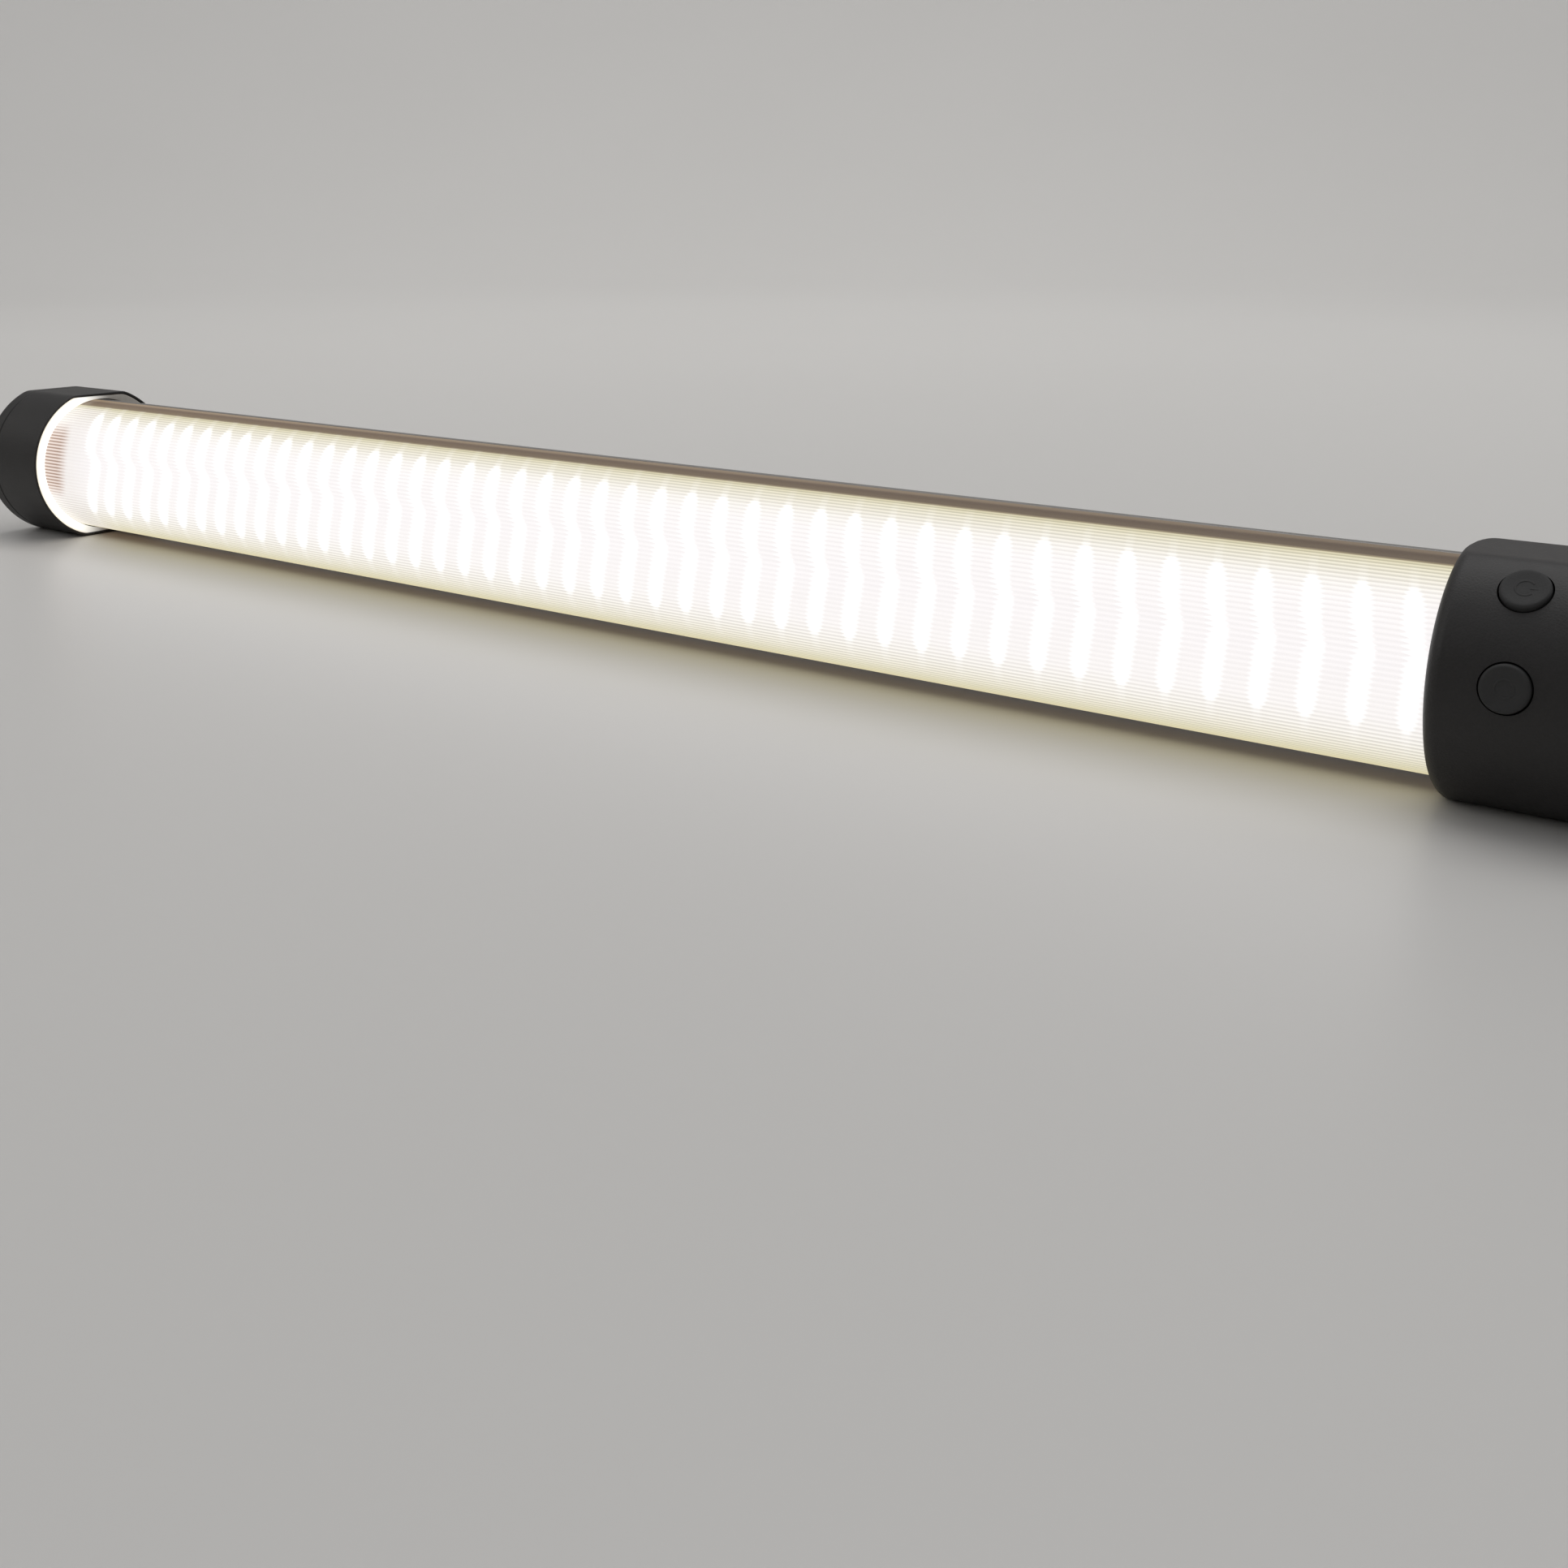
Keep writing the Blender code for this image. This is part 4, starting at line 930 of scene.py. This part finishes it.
def hole_tool(name, end, length, make_section, size, depth=END_WALL + OVERCUT):
    """A cutter through a cap's end face that leaves a small chamfer round the hole."""
    stages = [
        (length - depth, make_section(size)),
        (length - CHAMFER, make_section(size)),
        (length + OVERCUT, make_section(size + CHAMFER + OVERCUT)),
    ]
    return cap_bar(name, end, stages)


def screw_post_tools(end, length):
    """Posts inside a cap and the stepped screw holes through them."""
    tools = []
    for side in (1, -1):
        centre = (SCREW_PLACE[0], side * SCREW_PLACE[1])

        def ring(radius, centre=centre):
            return circle(radius, SMALL_STEPS, centre)

        post = [
            (SOCKET_DEPTH + GAP, ring(POST_RADIUS)),
            (length - END_WALL / 2, ring(POST_RADIUS)),
        ]
        tools.append((cap_bar(f"post_{side}", end, post), "UNION"))
        hole = [
            (0.0, ring(SCREW_HOLE_RADIUS)),
            (SCREW_SEAT_STATION, ring(SCREW_HOLE_RADIUS)),
            (SCREW_SEAT_STATION, ring(COUNTERBORE_RADIUS)),
            (length - CHAMFER, ring(COUNTERBORE_RADIUS)),
            (length + OVERCUT, ring(COUNTERBORE_RADIUS + CHAMFER + OVERCUT)),
        ]
        tools.append((cap_bar(f"hole_{side}", end, hole), "DIFFERENCE"))
    return tools


def make_far_cap(material):
    """The far cap, with the screw posts and the tripod insert's boss and pocket."""
    cap = cap_shell("far_cap_shell", FAR, FAR_CAP_LENGTH, recessed_rim())
    low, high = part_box("tripod_insert")
    radius = high.y
    depth = high.x - low.x

    def ring(size):
        return circle(size, SMALL_STEPS)

    boss = [
        (FAR_CAP_LENGTH - depth - END_WALL, ring(radius * BOSS_SHARE)),
        (FAR_CAP_LENGTH - END_WALL / 2, ring(radius * BOSS_SHARE)),
    ]
    tools = [(cap_bar("boss", FAR, boss), "UNION")]
    tools += screw_post_tools(FAR, FAR_CAP_LENGTH)
    pocket = hole_tool("pocket", FAR, FAR_CAP_LENGTH, ring, radius + GAP / 2, depth + GAP)
    tools.append((pocket, "DIFFERENCE"))
    settle(combined(cap, tools), "far_cap", "black_plastic", material)


def make_control_cap(material):
    """The control cap, with the screw posts and the holes for socket, indicator and buttons."""
    cap = cap_shell("control_cap_shell", NEAR, CONTROL_CAP_LENGTH, rounded_rim())
    tools = screw_post_tools(NEAR, CONTROL_CAP_LENGTH)
    low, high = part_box("usb_c_socket")
    usb_y = (low.y + high.y) / 2
    half_width = (high.z - low.z) / 2
    half_height = (high.y - low.y) / 2

    def usb_outline(spare):
        return slot(half_width + spare, half_height + spare, usb_y)

    opening = hole_tool("usb_opening", NEAR, CONTROL_CAP_LENGTH, usb_outline, GAP / 2)
    tools.append((opening, "DIFFERENCE"))
    low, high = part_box("charge_indicator")
    place = ((low.y + high.y) / 2, (low.z + high.z) / 2 - AXIS_Z)

    def light_hole(radius):
        return circle(radius, SMALL_STEPS, place)

    hole_radius = (high.y - low.y) / 2 + GAP / 2
    hole = hole_tool("light_hole", NEAR, CONTROL_CAP_LENGTH, light_hole, hole_radius)
    tools.append((hole, "DIFFERENCE"))
    key_hole_radius = BUTTON_RADIUS + BUTTON_CLEARANCE
    for name in BUTTON_DEG:
        heights = (BUTTON_FLANGE[0], BUTTON_TOP)
        rings = [button_ring(name, height, key_hole_radius) for height in heights]
        tools.append((lofted(f"{name}_hole", rings), "DIFFERENCE"))
    settle(combined(cap, tools), "control_cap", "black_plastic", material)


def make_seal_ring(material):
    """The far end's seal, with its outer front edge rounded."""
    bore = circle(BORE_RADIUS)
    sunk = RIM_LIP + GAP
    stages = [(SEAL_THICKNESS, bore), (SMALL_EDGE, bore), (0.0, circle(BORE_RADIUS + SMALL_EDGE))]
    for station, inset in quarter_round(SEAL_ROUNDING, ROUND_STEPS // 2):
        stages.append((station, cap_outline(sunk + inset)))
    stages.append((SEAL_THICKNESS, cap_outline(sunk)))
    ring = cap_bar("far_seal", FAR, stages, closed=True, weighted=False)
    settle(ring, "far_seal_ring", "white_silicone", material)


def box_centre(node):
    """The centre and the size of a CAD node's box."""
    low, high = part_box(node)
    return (low + high) / 2, high - low


def hexagon(radius, centre):
    """A hexagon with as many points as a small circle."""
    points = []
    inner_radius = radius * math.cos(math.radians(30.0))
    for i in range(SMALL_STEPS):
        degrees = 360.0 * i / SMALL_STEPS
        from_side = (degrees + 30.0) % 60.0 - 30.0
        reach = inner_radius / math.cos(math.radians(from_side))
        points.append(polar(reach, degrees, centre))
    return points


def make_screw(node, end, material):
    """A socket-head cap screw, deep in its counterbore."""
    middle, size = box_centre(node)
    centre = (middle.y, middle.z - AXIS_Z)
    head_radius = size.z / 2
    head_top = end * (middle.x + end * size.x / 2 - cap_x(end, 0.0))
    head_base = head_top - HEAD_HEIGHT

    def ring(radius):
        return circle(radius, SMALL_STEPS, centre)

    tip = head_top - size.x
    stages = [
        (tip, ring(SCREW_TIP_RADIUS)),
        (tip + SCREW_TIP_LENGTH, ring(SCREW_RADIUS)),
        (head_base, ring(SCREW_RADIUS)),
        (head_base, ring(head_radius - SMALL_EDGE)),
        (head_base + HEAD_BASE_EDGE, ring(head_radius)),
        (head_top - 0.8 * HEAD_BEVEL, ring(head_radius)),
        (head_top - 0.2 * HEAD_BEVEL, ring(head_radius - HEAD_BEVEL / 2)),
        (head_top, ring(head_radius - HEAD_BEVEL)),
        (head_top, hexagon(DRIVE_RADIUS + DRIVE_CHAMFER, centre)),
        (head_top - DRIVE_CHAMFER, hexagon(DRIVE_RADIUS, centre)),
        (head_top - DRIVE_DEPTH, hexagon(DRIVE_RADIUS, centre)),
        (head_top - DRIVE_TIP_DEPTH, ring(DRIVE_TIP_RADIUS)),
    ]
    screw = cap_bar(node + "_fine", end, stages)
    settle(screw, node, "steel", material)


def make_insert(material):
    """A brass insert with a knurled body and a threaded socket in the far end face."""
    low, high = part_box("tripod_insert")
    radius = high.y
    length = high.x - low.x
    top = FAR_CAP_LENGTH

    def body(size, teeth=0.0):
        points = []
        for i in range(SMALL_STEPS * 2):
            points.append(polar(size - teeth * (i % 2), 180.0 * i / SMALL_STEPS))
        return points

    def thread(station):
        points = []
        for i in range(SMALL_STEPS * 2):
            turn = station / THREAD_PITCH + i / (SMALL_STEPS * 2)
            wave = abs(2.0 * (turn % 1.0) - 1.0)
            reach = THREAD_CREST_RADIUS + (THREAD_ROOT_RADIUS - THREAD_CREST_RADIUS) * wave
            points.append(polar(reach, 180.0 * i / SMALL_STEPS))
        return points

    collar = 1.0 * MM
    rim_edge = 0.2 * MM
    stages = [
        (top - length, body(radius - KNURL_DEPTH)),
        (top - length + KNURL_DEPTH, body(radius, KNURL_DEPTH)),
        (top - NECK_END, body(radius, KNURL_DEPTH)),
        (top - NECK_END + NECK_SLOPE, body(radius - NECK_INSET)),
        (top - NECK_START - NECK_SLOPE, body(radius - NECK_INSET)),
        (top - NECK_START, body(radius, KNURL_DEPTH)),
        (top - collar, body(radius, KNURL_DEPTH)),
        (top - collar + rim_edge, body(radius)),
        (top - rim_edge, body(radius)),
        (top, body(radius - rim_edge)),
        (top, body(THREAD_ROOT_RADIUS + CHAMFER)),
        (top - 0.4 * MM, body(THREAD_ROOT_RADIUS)),
    ]
    thread_start = 0.5 * MM
    thread_end = INSERT_BORE_DEPTH - SMALL_EDGE
    steps = int(INSERT_BORE_DEPTH / THREAD_PITCH) * THREAD_STEPS_A_TURN
    for i in range(steps + 1):
        station = top - thread_start - (thread_end - thread_start) * i / steps
        stages.append((station, thread(station)))
    settle(cap_bar("insert_fine", FAR, stages), "tripod_insert", "brass", material)


# ---------------------------------------------------------------- buttons and charging


def button_frame(name):
    """Turns a button's own frame, with Z out of the cap, to its place on the cap."""
    centre, _ = box_centre(name)
    degrees = BUTTON_DEG[name]
    place = Matrix.Translation((centre.x, 0.0, AXIS_Z))
    return place @ Matrix.Rotation(math.radians(90.0 - degrees), 4, "X")


def button_ring(name, height, radius):
    """A ring of points round a button's axis, at this height above the tube's axis."""
    turn = button_frame(name)
    ring = []
    for i in range(SMALL_STEPS * 2):
        angle = math.pi * i / SMALL_STEPS
        ring.append(turn @ Vector((radius * math.cos(angle), radius * math.sin(angle), height)))
    return ring


def mark_profile(top):
    """A mark's cross-section as (sideways, up), sunk into the crown, with its corners taken off."""
    half = MARK_HALF_WIDTH
    shoulder = 0.4 * MARK_HEIGHT
    left = [(-half, -MARK_HEIGHT), (-half, shoulder), (-0.5 * half, top)]
    return left + [(-side, up) for side, up in reversed(left)]


def mark_ring(bm, turn, start_deg, end_deg, base):
    """A raised arc on a button's crown."""
    rings = []
    for i in range(MARK_STEPS + 1):
        angle = math.radians(start_deg + (end_deg - start_deg) * i / MARK_STEPS)
        ring = []
        for out, up in mark_profile(MARK_HEIGHT):
            reach = MARK_RADIUS + out
            ring.append(turn @ Vector((reach * math.cos(angle), reach * math.sin(angle), base + up)))
        rings.append(ring)
    closed = end_deg - start_deg >= 360.0
    add_loft(bm, rings[:-1] if closed else rings, closed)


def mark_bar(bm, turn, base):
    """A raised bar in the gap of the power mark, lower at its two ends."""
    low_end = mark_profile(0.4 * MARK_HEIGHT)
    full = mark_profile(MARK_HEIGHT)
    stages = (
        (BAR_START, low_end),
        (BAR_START + BAR_EDGE, full),
        (BAR_END - BAR_EDGE, full),
        (BAR_END, low_end),
    )
    rings = []
    for out, profile in stages:
        rings.append([turn @ Vector((out, side, base + up)) for side, up in profile])
    add_loft(bm, rings)


def make_button(name, material):
    """A rubber key with a dished crown and a raised mark."""
    profile = [
        (BUTTON_FLANGE[0], BUTTON_FLANGE_RADIUS),
        (BUTTON_FLANGE[1], BUTTON_FLANGE_RADIUS),
        (BUTTON_FLANGE[1], BUTTON_RADIUS),
    ]
    for inset, drop in quarter_round(BUTTON_ROUNDING):
        profile.append((BUTTON_TOP - drop, BUTTON_RADIUS - inset))
    dish_radius = BUTTON_RADIUS - 1.6 * BUTTON_ROUNDING
    for i in range(ROUND_STEPS):
        share = 1.0 - i / ROUND_STEPS
        depth = BUTTON_DISH * (1.0 - share * share)
        profile.append((BUTTON_TOP - depth, dish_radius * share))
    bm = bmesh.new()
    add_loft(bm, [button_ring(name, height, radius) for height, radius in profile])
    turn = button_frame(name)
    base = BUTTON_TOP - BUTTON_DISH
    if name == "power_button":
        mark_ring(bm, turn, *POWER_MARK_DEG, base)
        mark_bar(bm, turn, base)
    else:
        mark_ring(bm, turn, 0.0, 360.0, base)
    settle(new_piece(f"{name}_key", bm), name, "black_rubber", material)


def make_usb_socket(material):
    """The drawn steel shell of the charging socket, with a rolled mouth."""
    middle, size = box_centre("usb_c_socket")
    half_width = size.z / 2
    half_height = size.y / 2
    mouth = CONTROL_CAP_LENGTH - GAP
    back = mouth - size.x

    def outline(inset):
        return slot(half_width - inset, half_height - inset, middle.y)

    stages = [
        (back, outline(USB_EDGE)),
        (back + USB_EDGE, outline(0.0)),
        (mouth - USB_MOUTH_ROLL, outline(0.0)),
        (mouth, outline(0.1 * MM)),
        (mouth, outline(USB_WALL - 0.08 * MM)),
        (mouth - USB_MOUTH_ROLL, outline(USB_WALL)),
        (back + USB_WALL, outline(USB_WALL)),
    ]
    settle(cap_bar("usb_shell", NEAR, stages), "usb_c_socket", "steel", material)


def add_block(bm, low, high, bevel):
    """A box with its four long edges and its front bevelled."""
    rings = []
    for x, inset in ((low.x, 0.0), (high.x - bevel, 0.0), (high.x, bevel)):
        y0 = low.y + inset
        y1 = high.y - inset
        z0 = low.z + inset
        z1 = high.z - inset
        bottom = [(y0 + bevel, z0), (y1 - bevel, z0)]
        back = [(y1, z0 + bevel), (y1, z1 - bevel)]
        top = [(y1 - bevel, z1), (y0 + bevel, z1)]
        front = [(y0, z1 - bevel), (y0, z0 + bevel)]
        rings.append([(x, y, z) for y, z in bottom + back + top + front])
    add_loft(bm, rings)


def make_usb_tongue(plastic, gold):
    """The socket's tongue, with a row of gold contacts on each face."""
    low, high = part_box("usb_c_tongue")
    bm = bmesh.new()
    add_block(bm, low, high, 0.15 * MM)
    plain_faces = len(bm.faces)
    for i in range(CONTACT_COUNT):
        z = AXIS_Z + CONTACT_PITCH * (i - (CONTACT_COUNT - 1) / 2)
        for face_y in (low.y, high.y):
            start = Vector((high.x - CONTACT_START, face_y - CONTACT_PROUD, z - CONTACT_HALF_WIDTH))
            end = Vector((high.x - CONTACT_END, face_y + CONTACT_PROUD, z + CONTACT_HALF_WIDTH))
            add_block(bm, start, end, 0.02 * MM)
    for index, face in enumerate(bm.faces):
        face.material_index = 0 if index < plain_faces else 1
    settle(new_piece("usb_tongue", bm), "usb_c_tongue", "chip_epoxy", plastic, gold)


def make_indicator(material):
    """A light pipe with a domed end, just below the cap's face."""
    middle, size = box_centre("charge_indicator")
    centre = (middle.y, middle.z - AXIS_Z)
    radius = size.y / 2
    top = CONTROL_CAP_LENGTH - SMALL_EDGE

    def ring(size):
        return circle(size, SMALL_STEPS, centre)

    stages = [(top - size.x, ring(radius)), (top - INDICATOR_DOME, ring(radius))]
    for i in range(1, ROUND_STEPS):
        angle = math.radians(90.0 * i / ROUND_STEPS)
        station = top - INDICATOR_DOME * (1.0 - math.sin(angle))
        stages.append((station, ring(radius * math.cos(angle))))
    settle(cap_bar("indicator_lens", NEAR, stages), "charge_indicator", "clear_plastic", material)


# ---------------------------------------------------------------- what stays from the CAD


def dress_cad_nodes(finishes):
    """Gives each CAD node that still shows the finish of its slot."""
    slots = {part["node"]: part["material_slot"] for part in frame["record"]["subparts"]}
    for name, node in frame["nodes"].items():
        if node.hide_render:
            continue
        node.data.materials.clear()
        node.data.materials.append(finishes[slots[name]])
        smooth(node.data)


# ---------------------------------------------------------------- stage, lights and camera


def stage_material():
    """Pale matt paint, very slightly mottled."""
    w = Wiring("stage_paint")
    place = w.place()
    mottle = w.noise(place, 1.5, 2.0)
    return w.finish(
        base_color=w.mix(mottle, (0.60, 0.59, 0.57), (0.63, 0.62, 0.60)),
        roughness=0.42,
        specular_ior_level=0.45,
    )


def make_stage():
    """A pale round floor whose edge sweeps up into a wall, so that no horizon shows."""
    hub_radius = 0.5
    flat_radius = 1.8
    sweep = 2.2
    sweep_steps = 24
    wall_top = 3.0
    steps = 96
    profile = [(hub_radius, 0.0), (flat_radius, 0.0)]
    for i in range(1, sweep_steps + 1):
        angle = math.radians(90.0 * i / sweep_steps)
        profile.append((flat_radius + sweep * math.sin(angle), sweep * (1.0 - math.cos(angle))))
    profile.append((flat_radius + sweep, wall_top))
    bm = bmesh.new()
    loops = []
    for radius, height in profile:
        ring = []
        for i in range(steps):
            angle = math.tau * i / steps
            ring.append(bm.verts.new((radius * math.cos(angle), radius * math.sin(angle), height)))
        loops.append(ring)
    bm.faces.new(loops[0])
    for lower, upper in zip(loops, loops[1:]):
        for i in range(steps):
            j = (i + 1) % steps
            bm.faces.new((lower[i], lower[j], upper[j], upper[i]))
    bmesh.ops.recalc_face_normals(bm, faces=bm.faces)
    bmesh.ops.reverse_faces(bm, faces=bm.faces)
    mesh = bpy.data.meshes.new("stage")
    bm.to_mesh(mesh)
    bm.free()
    mesh.shade_smooth()
    mesh.materials.append(stage_material())
    stage = bpy.data.objects.new("stage", mesh)
    bpy.context.scene.collection.objects.link(stage)


def aim(thing, place, target):
    """Stands a light at a place, turned towards its target."""
    thing.location = place
    direction = Vector(target) - Vector(place)
    thing.rotation_euler = direction.to_track_quat("-Z", "Y").to_euler()


def add_softbox(name, place, target, size, watts, colour):
    """A rectangular area light."""
    data = bpy.data.lights.new(name, "AREA")
    data.shape = "RECTANGLE"
    data.size, data.size_y = size
    data.energy = watts
    data.color = colour
    softbox = bpy.data.objects.new(name, data)
    aim(softbox, place, target)
    bpy.context.scene.collection.objects.link(softbox)


def make_lights():
    """Three dim softboxes round the tube, one on the backdrop, and an even sky."""
    tube = (0.0, 0.0, AXIS_Z)
    far_wall = (-1.8, 3.0, 0.4)
    add_softbox("overhead", (0.1, 0.25, 1.7), tube, (1.8, 1.2), 8.0, (1.0, 0.985, 0.96))
    add_softbox("left_front", (-1.3, -1.1, 1.1), tube, (1.0, 1.0), 4.0, (1.0, 0.98, 0.95))
    add_softbox("right_back", (1.4, 0.9, 0.9), tube, (0.8, 1.0), 4.0, (0.95, 0.97, 1.0))
    add_softbox("backdrop", (-0.6, 0.9, 2.2), far_wall, (2.0, 1.0), 30.0, (1.0, 0.99, 0.98))
    world = bpy.data.worlds.new("studio")
    world.use_nodes = True
    background = world.node_tree.nodes["Background"]
    background.inputs["Color"].default_value = (0.95, 0.96, 1.0, 1.0)
    background.inputs["Strength"].default_value = 0.45
    bpy.context.scene.world = world
    bpy.context.scene.view_settings.view_transform = "Standard"


def make_camera():
    """The photo's view of the tube."""
    data = bpy.data.cameras.new("camera")
    data.sensor_width = CAMERA_SENSOR
    data.lens = CAMERA_LENS
    data.shift_y = CAMERA_SHIFT
    data.clip_start = 0.01
    camera = bpy.data.objects.new("camera", data)
    camera.location = CAMERA_PLACE
    camera.rotation_euler = Vector(CAMERA_AIM).to_track_quat("-Z", "Y").to_euler()
    bpy.context.scene.collection.objects.link(camera)
    bpy.context.scene.camera = camera


# ---------------------------------------------------------------- everything


def make_finishes():
    """A finish for every material slot of the record that a CAD node shows."""
    return {
        "satin_aluminium": anodised_aluminium(),
        "frosted_diffuser": lit_diffuser(),
        "black_plastic": cap_plastic(),
        "grey_plastic": moulded("switch_plastic", (0.20, 0.20, 0.21), 0.5, grain=0.03 * MM),
        "white_board": circuit_board("white_circuit_board", (0.86, 0.86, 0.83), (0.95, 0.94, 0.90)),
        "green_board": circuit_board("green_circuit_board", (0.012, 0.12, 0.05), (0.03, 0.26, 0.11)),
        "led_phosphor": phosphor(),
        "white_silicone": glowing_silicone(),
        "black_rubber": moulded("key_rubber", (0.020, 0.020, 0.020), 0.68, 0.4 * MM, 0.04 * MM, 0.2),
        "cell_sleeve": sleeve_film("cell_sleeve_film", (0.05, 0.26, 0.34), 0.32, 3.0 * MM, 0.08),
        "nickel": turned_metal("nickel_strip", (0.70, 0.68, 0.64), 0.28),
        "steel": turned_metal("plated_steel", (0.55, 0.55, 0.56), 0.3),
        "brass": turned_metal("turned_brass", (0.80, 0.58, 0.25), 0.28),
        "foam": foam(),
        "chip_epoxy": moulded("chip_moulding", (0.022, 0.022, 0.026), 0.55, 0.2 * MM),
        "ferrite": moulded("sintered_ferrite", (0.12, 0.115, 0.11), 0.7, 0.3 * MM, 0.05 * MM, 0.25),
        "capacitor_sleeve": sleeve_film("capacitor_film", (0.03, 0.05, 0.16), 0.3, 2.0 * MM, 0.1),
        "red_wire": moulded("red_wire_sleeve", (0.52, 0.03, 0.02), 0.4, 1.0 * MM),
        "cable_grey": moulded("ribbon_cable", (0.42, 0.43, 0.45), 0.45, 0.8 * MM),
        "cream_plastic": moulded("connector_nylon", (0.82, 0.76, 0.60), 0.42, 0.5 * MM, spread=0.06),
        "clear_plastic": clear_plastic(),
    }


def main():
    finishes = make_finishes()
    gold = turned_metal("gold_contacts", (0.95, 0.70, 0.30), 0.2)
    make_diffuser(finishes["frosted_diffuser"])
    make_housing(finishes["satin_aluminium"])
    make_far_cap(finishes["black_plastic"])
    make_control_cap(finishes["black_plastic"])
    make_seal_ring(finishes["white_silicone"])
    for label in ("upper", "lower"):
        make_screw(f"far_cap_screw_{label}", FAR, finishes["steel"])
        make_screw(f"near_cap_screw_{label}", NEAR, finishes["steel"])
    make_insert(finishes["brass"])
    for name in BUTTON_DEG:
        make_button(name, finishes["black_rubber"])
    make_usb_socket(finishes["steel"])
    make_usb_tongue(finishes["chip_epoxy"], gold)
    make_indicator(finishes["clear_plastic"])
    dress_cad_nodes(finishes)
    make_stage()
    make_lights()
    make_camera()


main()
